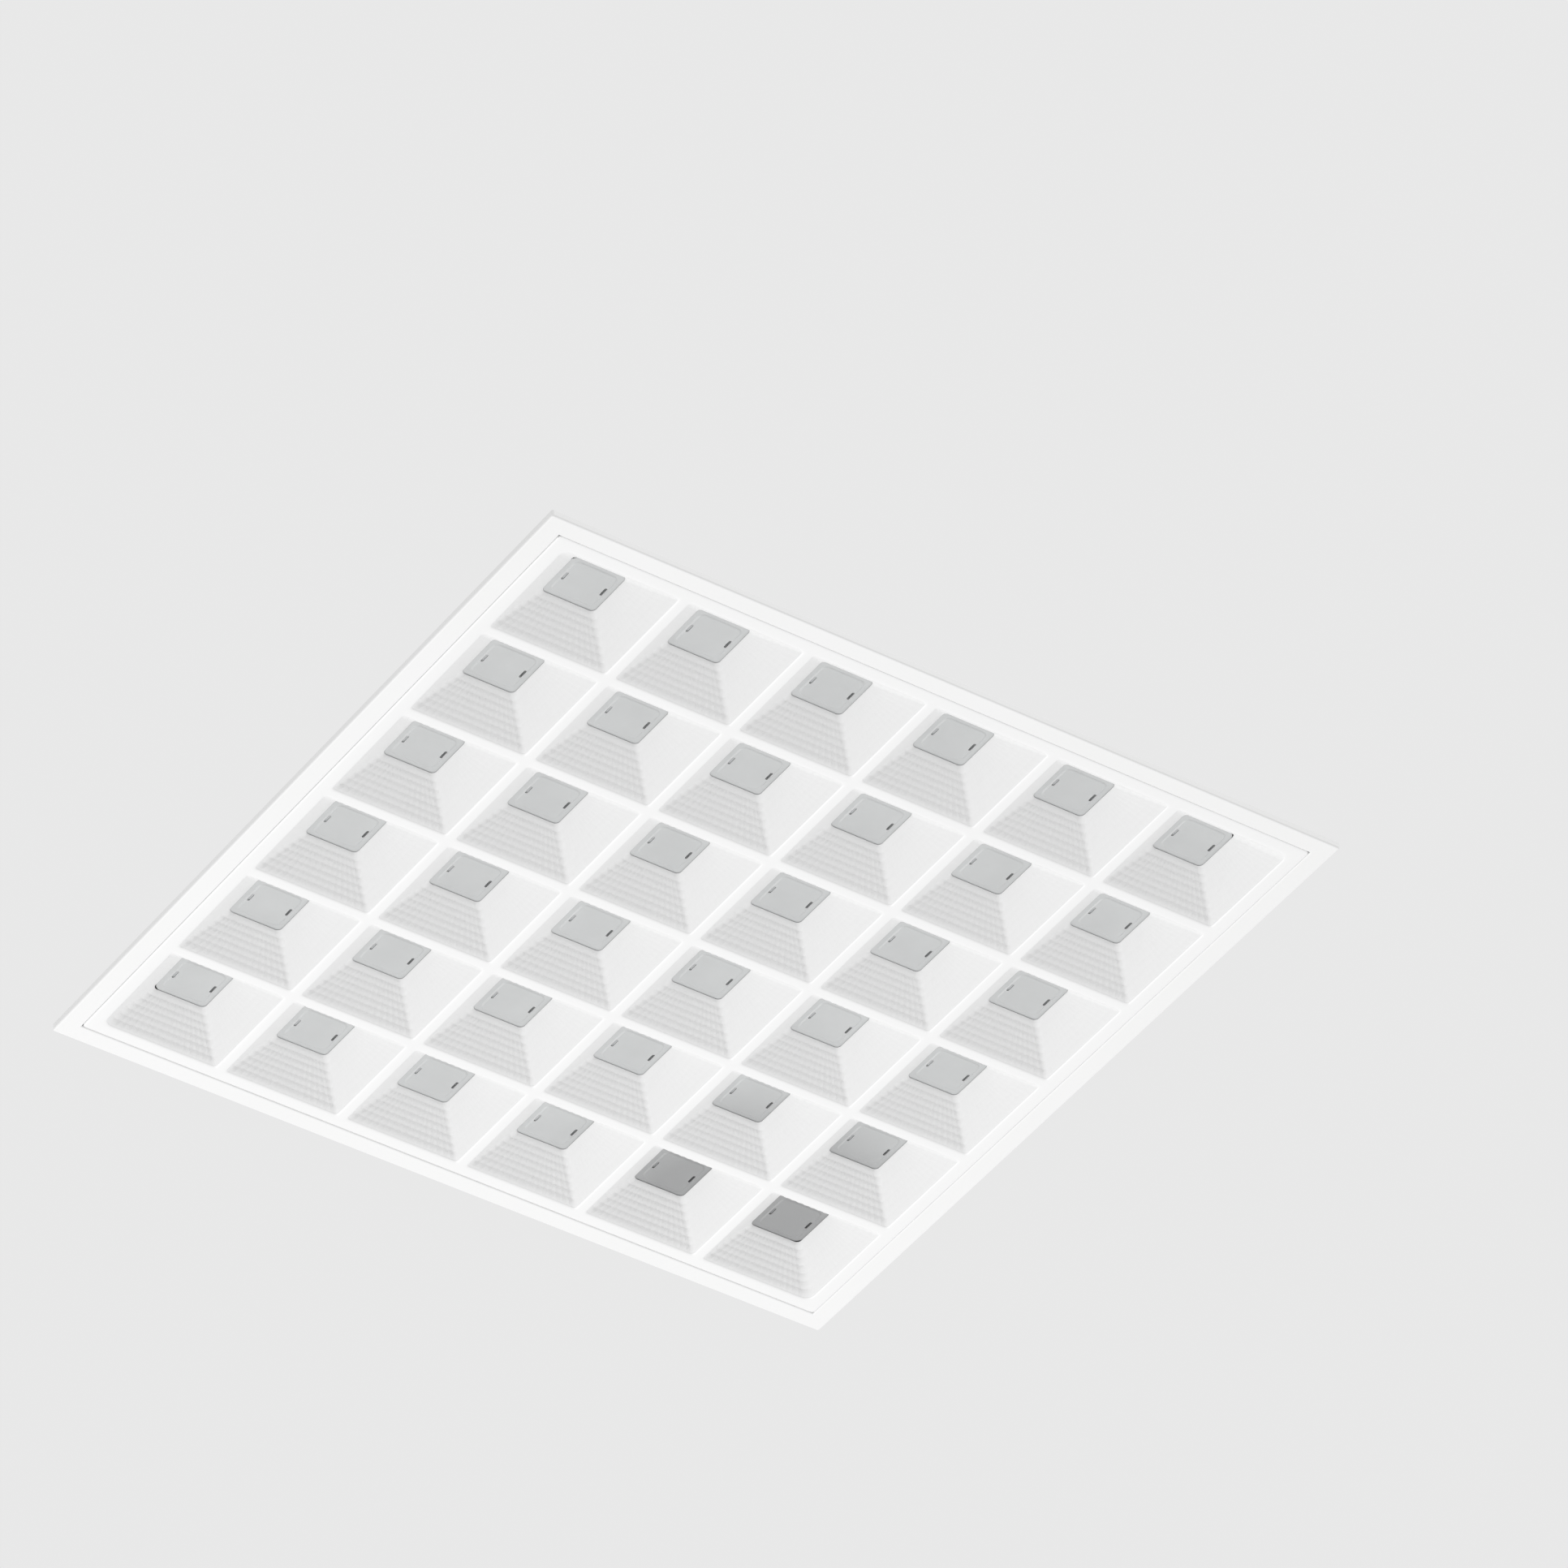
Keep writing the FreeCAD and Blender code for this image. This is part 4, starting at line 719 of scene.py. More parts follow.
PAN_SCREW_HOLE = 1.55 * MM
BOX_KNUCKLES = (79.6 * MM, 99.6 * MM)
COVER_KNUCKLES = (100.0 * MM, 120.0 * MM)
KNUCKLE_BORE = 1.06


def drill(piece, places, radius, start, end, along="Z"):
    """Cut round holes right through a piece."""
    profile = [(radius / MM, start / MM), (radius / MM, end / MM)]
    cut_out(piece, turned(f"{piece.name}_drill", places, profile, along))


def mill(piece, boxes):
    """Cut boxes out of a piece, each given in millimetres by its low and high corner."""
    work = bmesh.new()
    for low, high in boxes:
        strip_block(work, np.array(low) * MM, np.array(high) * MM)
    cut_out(piece, bmesh_object(f"{piece.name}_mill", work))


def cut_out(piece, tool):
    """Take a tool's shape out of a piece and throw the tool away."""
    cut = piece.modifiers.new("cut", "BOOLEAN")
    cut.operation = "DIFFERENCE"
    cut.solver = "EXACT"
    cut.object = tool
    done = bpy.data.meshes.new_from_object(piece.evaluated_get(bpy.context.evaluated_depsgraph_get()))
    done.set_sharp_from_angle(angle=math.radians(SHEET_CREASE))
    piece.modifiers.clear()
    piece.data = done
    bpy.data.objects.remove(tool)


def folded_rings(section, half, corner):
    """Rings round a rectangle from a section whose points lie inwards of its outer half sizes. The
    sheet is open between the section's last corner and its first, so the points there are left out."""
    rings = []
    for inwards, height in rounded_polygon(section)[1:-1]:
        radius = max(TIGHT_FOLD, corner - inwards)
        rings.append(square_ring((0, 0), np.array(half) - inwards, height, radius, SHEET_COLUMNS))
    return rings


def press(work, shapes, level, sheet):
    """Press shapes into a sheet. Each is the list of rings, from its foot to its crest, that a
    function gives for a height; the result is the edges left open in the upper and lower face."""
    upper, lower = [], []
    for shape in shapes:
        for height, edges in ((level, upper), (level - sheet, lower)):
            foot, crest = add_rings(work, shape(height))
            edges += foot
            fill(work, crest)
    return upper, lower


def bead(centre, reach, radius, rise):
    """A long pressed bead with round ends."""
    return lambda level: [round_ring(centre, radius - inwards * MM, level + share * rise, reach)
                          for inwards, share in BEAD_STEPS]


def panel(half, corner, rise):
    """A wide pressed panel with round corners."""
    return lambda level: [square_ring((0, 0), half - inwards * MM, level + share * rise, corner, 4)
                          for inwards, share in PANEL_STEPS]


def make_pan(sizes, louvre, box):
    """The folded pan with pressed beads, raised rings round its suspension holes and its screw holes."""
    outer, foot, inner = sizes.flange / 2, sizes.foot / 2, sizes.inner_foot / 2
    top, base, sheet = sizes.top, sizes.base, sizes.sheet
    rise = top - base - sheet
    flat = PAN_FLAT + rise + outer - foot
    section = (
        ((flat, top - sheet), OPEN_END), ((rise + outer - inner, top - sheet), INNER_FOLD),
        ((outer - inner, base), PAN_FOOT_FOLD), ((0.0, base), TIGHT_EDGE), ((0.0, base + sheet), TIGHT_EDGE),
        ((outer - foot, base + sheet), INNER_FOLD), ((outer - foot + rise, top), sizes.fold),
        ((flat, top), OPEN_END),
    )
    work = bmesh.new()
    low, high = add_rings(work, folded_rings(section, (outer, outer), PAN_CORNER))
    places = [((0.0, side * row * louvre.pitch), (LONG_BEAD, 0.0)) for side in SIDES for row in (1, 2)]
    places += [((side * SHORT_BEAD_ALONG, 0.0), (SHORT_BEAD, 0.0)) for side in SIDES]
    shapes = [bead(centre, reach, sizes.bead_radius, sizes.bead_height) for centre, reach in places]
    hangers = [(along * sizes.hang_along, across * sizes.hang_across) for along in SIDES for across in SIDES]
    shapes += [bead(centre, (0.0, 0.0), HANGER_RING, HANGER_RISE) for centre in hangers]
    upper, lower = press(work, shapes, top, sheet)
    fill(work, high + upper, low + lower)
    piece = bmesh_object("pan_shell", work)
    low_end, high_end = top - 3 * sheet, top + 3 * sheet
    drill(piece, [(*place, 0.0) for place in hangers], sizes.hang_radius, low_end, high_end)
    drill(piece, board_screw_places(louvre), PAN_SCREW_HOLE, low_end, high_end)
    drill(piece, [(box.lead_along, 0.0, 0.0)], box.lead_hole, low_end, high_end)
    return piece


def knuckle_tube(name, span, sizes):
    """A rolled knuckle with its bore, at both ends of the box."""
    start, end = span
    radius, width, soft = sizes.knuckle / MM, (end - start) / MM, 0.2
    profile = ((KNUCKLE_BORE, 0.0), (radius - soft, 0.0), (radius, soft), (radius, width - soft),
               (radius - soft, width), (KNUCKLE_BORE, width))
    places = [(edge, sizes.axis_across, sizes.axis_up) for edge in (-end, start)]
    return turned(name, places, profile, "X", closed=True)


def strip_block(work, low, high):
    """A flat-sided block between two corners."""
    corners = [work.verts.new((low[0] if index & 4 else high[0], low[1] if index & 2 else high[1],
                               low[2] if index & 1 else high[2])) for index in range(8)]
    for face in ((0, 1, 3, 2), (4, 6, 7, 5), (0, 4, 5, 1), (2, 3, 7, 6), (0, 2, 6, 4), (1, 5, 7, 3)):
        work.faces.new([corners[index] for index in face])


def knuckle_strips(work, span, low, high):
    """The strips that join the knuckles at both ends to their sheet, given across and up."""
    for side in SIDES:
        near, far = sorted((side * span[0], side * span[1]))
        strip_block(work, (near, *low), (far, *high))


def join_pieces(piece, other):
    """Take another object's mesh into a piece."""
    work = bmesh.new()
    for item in (piece, other):
        work.from_mesh(item.data)
    work.to_mesh(piece.data)
    work.free()
    bpy.data.objects.remove(other)


def make_box(sizes, base):
    """The open driver box with rounded folds, its inlet and lead holes and two hinge knuckles."""
    half = np.array([sizes.box_length, sizes.box_width]) / 2
    sheet, top = sizes.sheet, base + sizes.box_height
    section = (
        ((BOX_FLAT, base + sheet), OPEN_END), ((sheet, base + sheet), INNER_FOLD),
        ((sheet, top), TIGHT_FOLD), ((0.0, top), TIGHT_FOLD), ((0.0, base), BOX_FOLD),
        ((BOX_FLAT, base), OPEN_END),
    )
    work = bmesh.new()
    fill(work, *add_rings(work, folded_rings(section, half, BOX_CORNER)))
    strip_low, strip_high = (-0.1 * MM, -4.0 * MM), (1.1 * MM, 0.0)
    strips_at = np.array([half[1], sizes.axis_up])
    knuckle_strips(work, BOX_KNUCKLES, strips_at + strip_low, strips_at + strip_high)
    piece = bmesh_object("wiring_box", work)
    drill(piece, [(-half[0], 0.0, sizes.inlet_up)], sizes.inlet_hole, -3 * sheet, 3 * sheet, "X")
    drill(piece, [(sizes.lead_along, 0.0, 0.0)], sizes.lead_hole, base - sheet, base + 3 * sheet)
    join_pieces(piece, knuckle_tube("box_knuckles", BOX_KNUCKLES, sizes))
    return piece


def make_lid(sizes, base):
    """The lid: three turned-down edges, a pressed panel, and two knuckles on its fourth side."""
    half = np.array([sizes.box_length, sizes.box_width]) / 2 + sizes.lid_overhang
    sheet = sizes.sheet
    top = base + sizes.box_height + sizes.lid_gap + sheet
    foot = top - sizes.lid_flange
    section = (
        ((COVER_FLAT, top - sheet), OPEN_END), ((sheet, top - sheet), COVER_INNER_FOLD),
        ((sheet, foot), TIGHT_FOLD), ((0.0, foot), TIGHT_FOLD), ((0.0, top), COVER_FOLD),
        ((COVER_FLAT, top), OPEN_END),
    )
    rings = folded_rings(section, half, COVER_CORNER)
    for ring in rings:
        beyond = ring[:, 1] > sizes.lid_edge - 1.0 * MM
        ring[beyond, 2] = np.maximum(ring[beyond, 2], top - sheet)
        ring[:, 1] = np.minimum(ring[:, 1], sizes.lid_edge)
    work = bmesh.new()
    ends = add_rings(work, rings)
    bmesh.ops.remove_doubles(work, verts=work.verts, dist=0.001 * MM)
    low, high = ([edge for edge in edges if edge.is_valid] for edges in ends)
    shapes = [panel(half - PANEL_MARGIN, PANEL_CORNER, sizes.panel_rise)]
    upper, lower = press(work, shapes, top, sheet)
    fill(work, high + upper, low + lower)
    strip_low, strip_high = (sizes.lid_edge - 0.2 * MM, top - sheet), (sizes.axis_across - 1.5 * MM, top)
    knuckle_strips(work, COVER_KNUCKLES, strip_low, strip_high)
    piece = bmesh_object("wiring_box_cover", work)
    join_pieces(piece, knuckle_tube("cover_knuckles", COVER_KNUCKLES, sizes))
    return piece


# Hold-down clips

CLIP_BEND_STEPS = 6
TAB_CORNER, TAB_CORNER_STEPS = 4.0 * MM, 5
HALF_EYE_STEPS = 16
EYE_STEPS = 24


def clip_stations(sizes):
    """Distance from the pivot, height of the underside, slope and half width along a clip."""
    half, outer = sizes.width / 2, sizes.bend + sizes.sheet
    straight_end = sizes.reach - outer
    stations = []
    for angle in (QUARTER * step / CLIP_BEND_STEPS for step in range(CLIP_BEND_STEPS + 1)):
        stations.append((straight_end + outer * math.sin(angle), outer * (1 - math.cos(angle)), angle, half))
    for angle in (QUARTER * step / TAB_CORNER_STEPS for step in range(TAB_CORNER_STEPS + 1)):
        rise = sizes.tab - TAB_CORNER + TAB_CORNER * math.sin(angle)
        width = half - TAB_CORNER + TAB_CORNER * math.cos(angle)
        stations.append((sizes.reach, rise, QUARTER, width))
    return stations


def make_clip(name, place, sizes):
    """A hold-down clip: a flat arm with a round eye and a turned-up tab."""
    half, sheet = sizes.width / 2, sizes.sheet
    towards = -math.copysign(1.0, place[0])
    stations = clip_stations(sizes)
    first = stations[0][0]
    work = bmesh.new()

    def spot(along, across, up):
        return place[0] + towards * along, place[1] + across, sizes.foot + up

    arms, eyes = [], []
    for up in (0.0, sheet):
        turns = (-QUARTER - math.pi * step / HALF_EYE_STEPS for step in range(HALF_EYE_STEPS + 1))
        arm = [spot(half * math.cos(turn), half * math.sin(turn), up) for turn in turns]
        arm, arm_edges = edge_loop(work, [spot(first, -half, up), *arm, spot(first, half, up)])
        turns = (2 * math.pi * step / EYE_STEPS for step in range(EYE_STEPS))
        eye = [spot(sizes.eye * math.cos(turn), sizes.eye * math.sin(turn), up) for turn in turns]
        eye, eye_edges = edge_loop(work, eye)
        fill(work, arm_edges + eye_edges)
        arms.append(arm)
        eyes.append(eye)
    low, high = arms
    for index in range(1, len(low)):
        work.faces.new((low[index - 1], low[index], high[index], high[index - 1]))
    wall(work, *eyes)
    before = (low[0], low[-1], high[-1], high[0])
    for along, up, slope, width in stations[1:]:
        back, rise = -sheet * math.sin(slope), sheet * math.cos(slope)
        here = [work.verts.new(point) for point in (
            spot(along, -width, up), spot(along, width, up),
            spot(along + back, width, up + rise), spot(along + back, -width, up + rise),
        )]
        wall(work, before, here)
        before = here
    work.faces.new(before)
    return bmesh_object(name, work)


# Boards, light sources and driver

# In millimetres, where a span gives a low and a high end
BOARD_HALF, BOARD_SPAN = (262.0, 20.0), (28.0, 29.6)
LAND_ALONG, LAND_HALF, LAND_SPAN = 5.6, (1.2, 2.6), (27.92, 28.02)
PLUG_ALONG, PLUG_HALF, PLUG_SPAN = 256.5, (4.0, 8.0), (25.3, 28.0)
LATCH_ALONG, LATCH_HALF, LATCH_SPAN = 254.2, (1.2, 3.5), (25.0, 25.6)
TERMINAL_PLACE, TERMINAL_HALF, TERMINAL_SPAN = (-110.0, 0.0), (12.0, 16.0), (31.45, 44.0)
MAGNET_ALONG, MAGNET_ACROSS, MAGNET_HALF, MAGNET_SPAN = 120.0, -281.6, (12.5, 1.4), (2.2, 7.2)
PACKAGE_STEPS = ((3.5, 28.0), (3.5, 27.3), (3.38, 27.12), (3.2, 27.1))
DOME_STEPS = ((2.75, 27.1), (2.6, 27.3), (2.45, 27.32), (1.8, 27.2), (0.9, 27.13), (0.3, 27.11))
DRIVER_STEPS = (
    (0.5, 0.05), (0.0, 0.5), (0.0, 0.6), (0.0, 13.9), (0.0, 14.0), (0.45, 14.2), (0.45, 14.8), (0.0, 15.0),
    (0.0, 15.1), (0.0, 19.3), (0.0, 19.4), (0.4, 20.2), (1.3, 20.9), (2.4, 21.0), (2.5, 21.0), (4.9, 21.0),
    (5.0, 21.0), (5.3, 20.7), (6.2, 20.7), (6.5, 21.0), (6.6, 21.0),
)
EAR_STEPS = ((0.3, 0.05), (0.0, 0.3), (0.0, 2.7), (0.3, 2.98))
DRIVER_PLACE, DRIVER_HALF = (30.0, -31.0), (90.0, 21.0)
EAR_ALONG, EAR_HALF = 89.0, (10.0, 10.5)
DRIVER_SCREW_ALONG = 94.5
POLES = (-9.5, 0.0, 9.5)
LEVER_AXIS = (-117.0, 42.0)
LEVER_HALF, LEVER_HUB = 3.5, 2.0
GRIP_RIDGES, FIRST_RIDGE, RIDGE_PITCH = 4, 11.0, 1.2
LEVER_PIVOT = ((0.8, -4.3), (1.0, -4.1), (1.0, 4.1), (0.8, 4.3))

DRIVER_FOOT, DRIVER_SCREW_HOLE = 31.4 * MM, 1.85 * MM


def make_packages(name, middle, louvre):
    """The light sources of one board: square bodies with a round well and a domed filling."""
    work = bmesh.new()
    for column in range(louvre.cells):
        centre = (cell_middle(column, louvre), middle)
        body = [square_ring(centre, half * MM, height * MM, 0.3 * MM, 1) for half, height in PACKAGE_STEPS]
        back, front = add_rings(work, body)
        fill(work, back)
        dome = [round_ring(centre, radius * MM, height * MM) for radius, height in DOME_STEPS]
        rim, heart = add_rings(work, dome)
        fill(work, front + rim, heart)
    return bmesh_object(name, work)


def stacked_block(work, centre, half, steps, corner, columns=2, base=0.0):
    """A closed block from steps of how far inwards and how high each ring lies, in millimetres."""
    centre, half = np.array(centre) * MM, np.array(half)
    rings = [square_ring(centre, (half - inwards) * MM, base + height * MM, corner * MM, columns)
             for inwards, height in steps]
    fill(work, *add_rings(work, rings))


def soft_block(work, centre, half, low, high, corner, soft=0.25):
    """A block with round upright corners and softened edges."""
    steps = ((soft, low), (0.3 * soft, low + 0.3 * soft), (0.0, low + soft), (0.0, high - soft),
             (0.3 * soft, high - 0.3 * soft), (soft, high))
    stacked_block(work, centre, half, steps, corner)


def make_board(name, middle, louvre):
    """One long board with round corners, its screw holes and a land beside each light source."""
    work = bmesh.new()
    soft_block(work, (0.0, middle / MM), BOARD_HALF, *BOARD_SPAN, 2.0, 0.15)
    for column in range(louvre.cells):
        for side in SIDES:
            centre = (cell_middle(column, louvre) / MM + side * LAND_ALONG, middle / MM)
            soft_block(work, centre, LAND_HALF, *LAND_SPAN, 0.5, 0.03)
    piece = bmesh_object(name, work)
    places = [(step * 2 * louvre.pitch, middle, 0.0) for step in THIRDS]
    low, high = BOARD_SPAN
    drill(piece, places, SCREW_HOLE, (low - 1.0) * MM, (high + 1.4) * MM)
    return piece


def make_connectors(louvre):
    """The plug housings at the boards' ends, each with a latch and a row of test openings."""
    work = bmesh.new()
    openings = []
    for row in range(louvre.cells):
        middle = cell_middle(row, louvre) / MM
        soft_block(work, (PLUG_ALONG, middle), PLUG_HALF, *PLUG_SPAN, 0.6)
        soft_block(work, (LATCH_ALONG, middle), LATCH_HALF, *LATCH_SPAN, 0.3, 0.12)
        openings += [((256.6, middle + 4.0 * step - 0.6, 24.0), (259.2, middle + 4.0 * step + 0.6, 26.1))
                     for step in THIRDS]
    piece = bmesh_object("plug_housings", work)
    mill(piece, openings)
    return piece


def make_terminals():
    """The terminal block: for each pole a lever slot, a test slot and a square wire entry."""
    work = bmesh.new()
    soft_block(work, TERMINAL_PLACE, TERMINAL_HALF, *TERMINAL_SPAN, 0.8, 0.4)
    piece = bmesh_object("terminal_body", work)
    boxes = []
    for pole in POLES:
        boxes += [
            ((-119.6, pole - 3.7, 39.7), (-104.0, pole + 3.7, 45.0)),
            ((-123.0, pole - 1.8, 33.4), (-113.0, pole + 1.8, 37.0)),
            ((-101.9, pole - 0.8, 42.6), (-100.1, pole + 0.8, 45.0)),
        ]
    mill(piece, boxes)
    return piece


def make_lever(name, pole):
    """One wire-release lever: a hub on its pivot and an arm with grip ridges at its tip."""
    arm = [(1.936, 0.5), (11.6, 0.5), (11.9, 0.7), (12.0, 1.0), (12.0, 1.7), (11.7, 2.0)]
    for ridge in range(GRIP_RIDGES):
        start = FIRST_RIDGE - RIDGE_PITCH * ridge
        arm += [(start, 2.0), (start - 0.25, 1.65), (start - 0.55, 1.65), (start - 0.8, 2.0)]
    turns = np.linspace(QUARTER, 6.5, 20)
    hub = [(LEVER_HUB * math.cos(turn), LEVER_HUB * math.sin(turn)) for turn in turns]
    outline = np.array(arm + hub) + np.array(LEVER_AXIS)
    rings = [np.c_[outline[:, 0], np.full(len(outline), pole + across), outline[:, 1]] * MM
             for across in (-LEVER_HALF, LEVER_HALF)]
    work = bmesh.new()
    for loop in add_rings(work, rings):
        bmesh.ops.contextual_create(work, geom=loop)
    piece = bmesh_object(name, work)
    axis = np.array([LEVER_AXIS[0], pole, LEVER_AXIS[1]]) * MM
    join_pieces(piece, turned(f"{name}_pivot", [axis], LEVER_PIVOT, "Y"))
    return piece


def make_magnet(name, side):
    """A catch magnet with softened edges."""
    work = bmesh.new()
    soft_block(work, (side * MAGNET_ALONG, MAGNET_ACROSS), MAGNET_HALF, *MAGNET_SPAN, 0.5, 0.3)
    return bmesh_object(name, work)


def make_driver():
    """The driver: a case with a seam round its cover and a shallow groove on top, and two ears."""
    along, across = DRIVER_PLACE
    work = bmesh.new()
    stacked_block(work, DRIVER_PLACE, DRIVER_HALF, DRIVER_STEPS, 1.6, SHEET_COLUMNS, DRIVER_FOOT)
    for side in SIDES:
        stacked_block(work, (along + side * EAR_ALONG, across), EAR_HALF, EAR_STEPS, 3.0, base=DRIVER_FOOT)
    piece = bmesh_object("driver_case", work)
    drill(piece, driver_screw_places(), DRIVER_SCREW_HOLE, DRIVER_FOOT - 1.0 * MM, DRIVER_FOOT + 3.5 * MM)
    return piece


def driver_screw_places():
    """One screw in the ear at each end of the driver."""
    along, across = DRIVER_PLACE
    return [((along + side * DRIVER_SCREW_ALONG) * MM, across * MM, 0.0) for side in SIDES]


# Finishes

FLOAT, COLOUR = "NodeSocketFloat", "NodeSocketColor"
WHITE = (1.0, 1.0, 1.0, 1.0)
DUST = (0.47, 0.45, 0.42)
GRAIN_DEPTH = 0.05 * MM
DRIFT_PATCHES, DUST_PATCHES = (0.32, 0.68), (0.3, 0.75)
DUST_SLOPES, STRIPE_SLOPES = (0.35, 0.95), (0.66, 0.72)
EARTH_GREEN, EARTH_YELLOW = (0.35, 0.58, 0.22), (0.86, 0.74, 0.12)
# Centre and reach of the painted shade over the lenses near one corner
PAINTED_SHADE_CENTRE, PAINTED_SHADE_NEAR, PAINTED_SHADE_FAR = (200.0 * MM, 250.0 * MM, 24.0 * MM), 66.0 * MM, 150.0 * MM

# Colour, roughness and how fine the crystals are
ZINC_COATS = {
    "box_steel": ((0.56, 0.57, 0.58), 0.42, 95.0),
    "clip_steel": ((0.56, 0.57, 0.59), 0.38, 260.0),
    "steel_fittings": ((0.66, 0.67, 0.69), 0.28, 600.0),
    "magnet_plating": ((0.78, 0.79, 0.81), 0.2, 900.0),
    "brass_fittings": ((0.80, 0.66, 0.36), 0.28, 800.0),
}

# Colour and roughness
PLASTICS = {
    "board_laminate": ((0.88, 0.89, 0.87), 0.35),
    "light_source": ((0.93, 0.82, 0.38), 0.5),
    "connector_plastic": ((0.88, 0.87, 0.83), 0.45),
    "driver_case": ((0.83, 0.84, 0.84), 0.45),
    "terminal_plastic": ((0.62, 0.64, 0.66), 0.4),
    "lever_plastic": ((0.32, 0.36, 0.42), 0.35),
    "grommet_rubber": ((0.10, 0.10, 0.10), 0.7),
    "lead_sheath": ((0.80, 0.80, 0.78), 0.4),
}


def feed(tree, socket, source):
    """Link an output to a socket, or give the socket a value."""
    if isinstance(source, bpy.types.NodeSocket):
        tree.links.new(source, socket)
    else:
        socket.default_value = source


def add_node(tree, kind, sources, **settings):
    """The outputs of a new node, from its settings and what feeds each of its sockets."""
    node = tree.nodes.new(f"ShaderNode{kind}")
    for name, value in settings.items():
        setattr(node, name, value)
    for label, source in sources.items():
        feed(tree, node.inputs[label], source)
    return node.outputs


def place_on(tree, output="Object"):
    """The object's own coordinates or its normals."""
    return add_node(tree, "TexCoord", {})[output]


def up_part(tree, output):
    """The upward part of the coordinates or the normals."""
    return add_node(tree, "SeparateXYZ", {"Vector": place_on(tree, output)})["Z"]


def noise(tree, scale, detail, roughness=0.5):
    """Noise that keeps its place on the object."""
    sources = {"Vector": place_on(tree), "Scale": scale, "Detail": detail, "Roughness": roughness}
    return add_node(tree, "TexNoise", sources)["Fac"]


def spread(tree, value, low, high):
    """A value's way from one mark to another, between 0 and 1."""
    return add_node(tree, "MapRange", {"Value": value, "From Min": low, "From Max": high})["Result"]


def math_node(tree, operation, first, second):
    """One operation on two values."""
    return add_node(tree, "Math", {0: first, 1: second}, operation=operation)["Value"]


def mixed(tree, mask, first, second):
    """A second colour over a first where a mask says so."""
    return add_node(tree, "Mix", {"Factor": mask, "A": first, "B": second}, data_type="RGBA")["Result"]


def new_group(name, inputs, outputs):
    """An empty node group, its inputs given with their defaults and its outputs with their kinds."""
    tree = bpy.data.node_groups.new(name, "ShaderNodeTree")
    for label, default in inputs.items():
        kind = COLOUR if isinstance(default, tuple) else FLOAT
        tree.interface.new_socket(name=label, in_out="INPUT", socket_type=kind).default_value = default
    for label, kind in outputs.items():
        tree.interface.new_socket(name=label, in_out="OUTPUT", socket_type=kind)
    return tree, tree.nodes.new("NodeGroupInput").outputs, tree.nodes.new("NodeGroupOutput").inputs


def grain_group(name):
    """Fine moulded or sprayed texture: a height from layers of noise."""
    tree, given, result = new_group(name, {"Scale": 900.0, "Roughness": 0.6}, {"Height": FLOAT})
    feed(tree, result["Height"], noise(tree, given["Scale"], 3.0, given["Roughness"]))
    return tree


def drift_group(name):
    """Slow change of tone over a surface, and where it is."""
    inputs = {"Colour": WHITE, "Shade": (0.9, 0.9, 0.9, 1.0), "Scale": 12.0, "Amount": 1.0}
    tree, given, result = new_group(name, inputs, {"Colour": COLOUR, "Mask": FLOAT})
    patches = spread(tree, noise(tree, given["Scale"], 4.0), *DRIFT_PATCHES)
    mask = math_node(tree, "MULTIPLY", patches, given["Amount"])
    feed(tree, result["Colour"], mixed(tree, mask, given["Colour"], given["Shade"]))
    feed(tree, result["Mask"], mask)
    return tree


def spangle_group(name):
    """Crystals of a zinc coat: patches of slightly different tone."""
    tree, given, result = new_group(name, {"Scale": 140.0}, {"Tone": FLOAT, "Height": FLOAT})
    cells = add_node(tree, "TexVoronoi", {"Vector": place_on(tree), "Scale": given["Scale"]})
    feed(tree, result["Tone"], add_node(tree, "SeparateColor", {"Color": cells["Color"]})["Red"])
    feed(tree, result["Height"], cells["Distance"])
    return tree


def dust_group(name):
    """A mask of fine dust on what faces up."""
    tree, given, result = new_group(name, {"Amount": 0.5, "Scale": 45.0}, {"Mask": FLOAT})
    facing = spread(tree, up_part(tree, "Normal"), *DUST_SLOPES)
    patches = spread(tree, noise(tree, given["Scale"], 5.0), *DUST_PATCHES)
    both = math_node(tree, "MULTIPLY", facing, patches)
    feed(tree, result["Mask"], math_node(tree, "MULTIPLY", both, given["Amount"]))
    return tree


def depth_group(name):
    """A mask that rises from none at one height over the visible face to full at another."""
    tree, given, result = new_group(name, {"Low": 0.0, "High": 1.0}, {"Mask": FLOAT})
    feed(tree, result["Mask"], spread(tree, up_part(tree, "Object"), given["Low"], given["High"]))
    return tree


GROUP_MAKERS = {
    "Surface grain": grain_group,
    "Tone drift": drift_group,
    "Zinc spangle": spangle_group,
    "Settled dust": dust_group,
    "Height mask": depth_group,
}


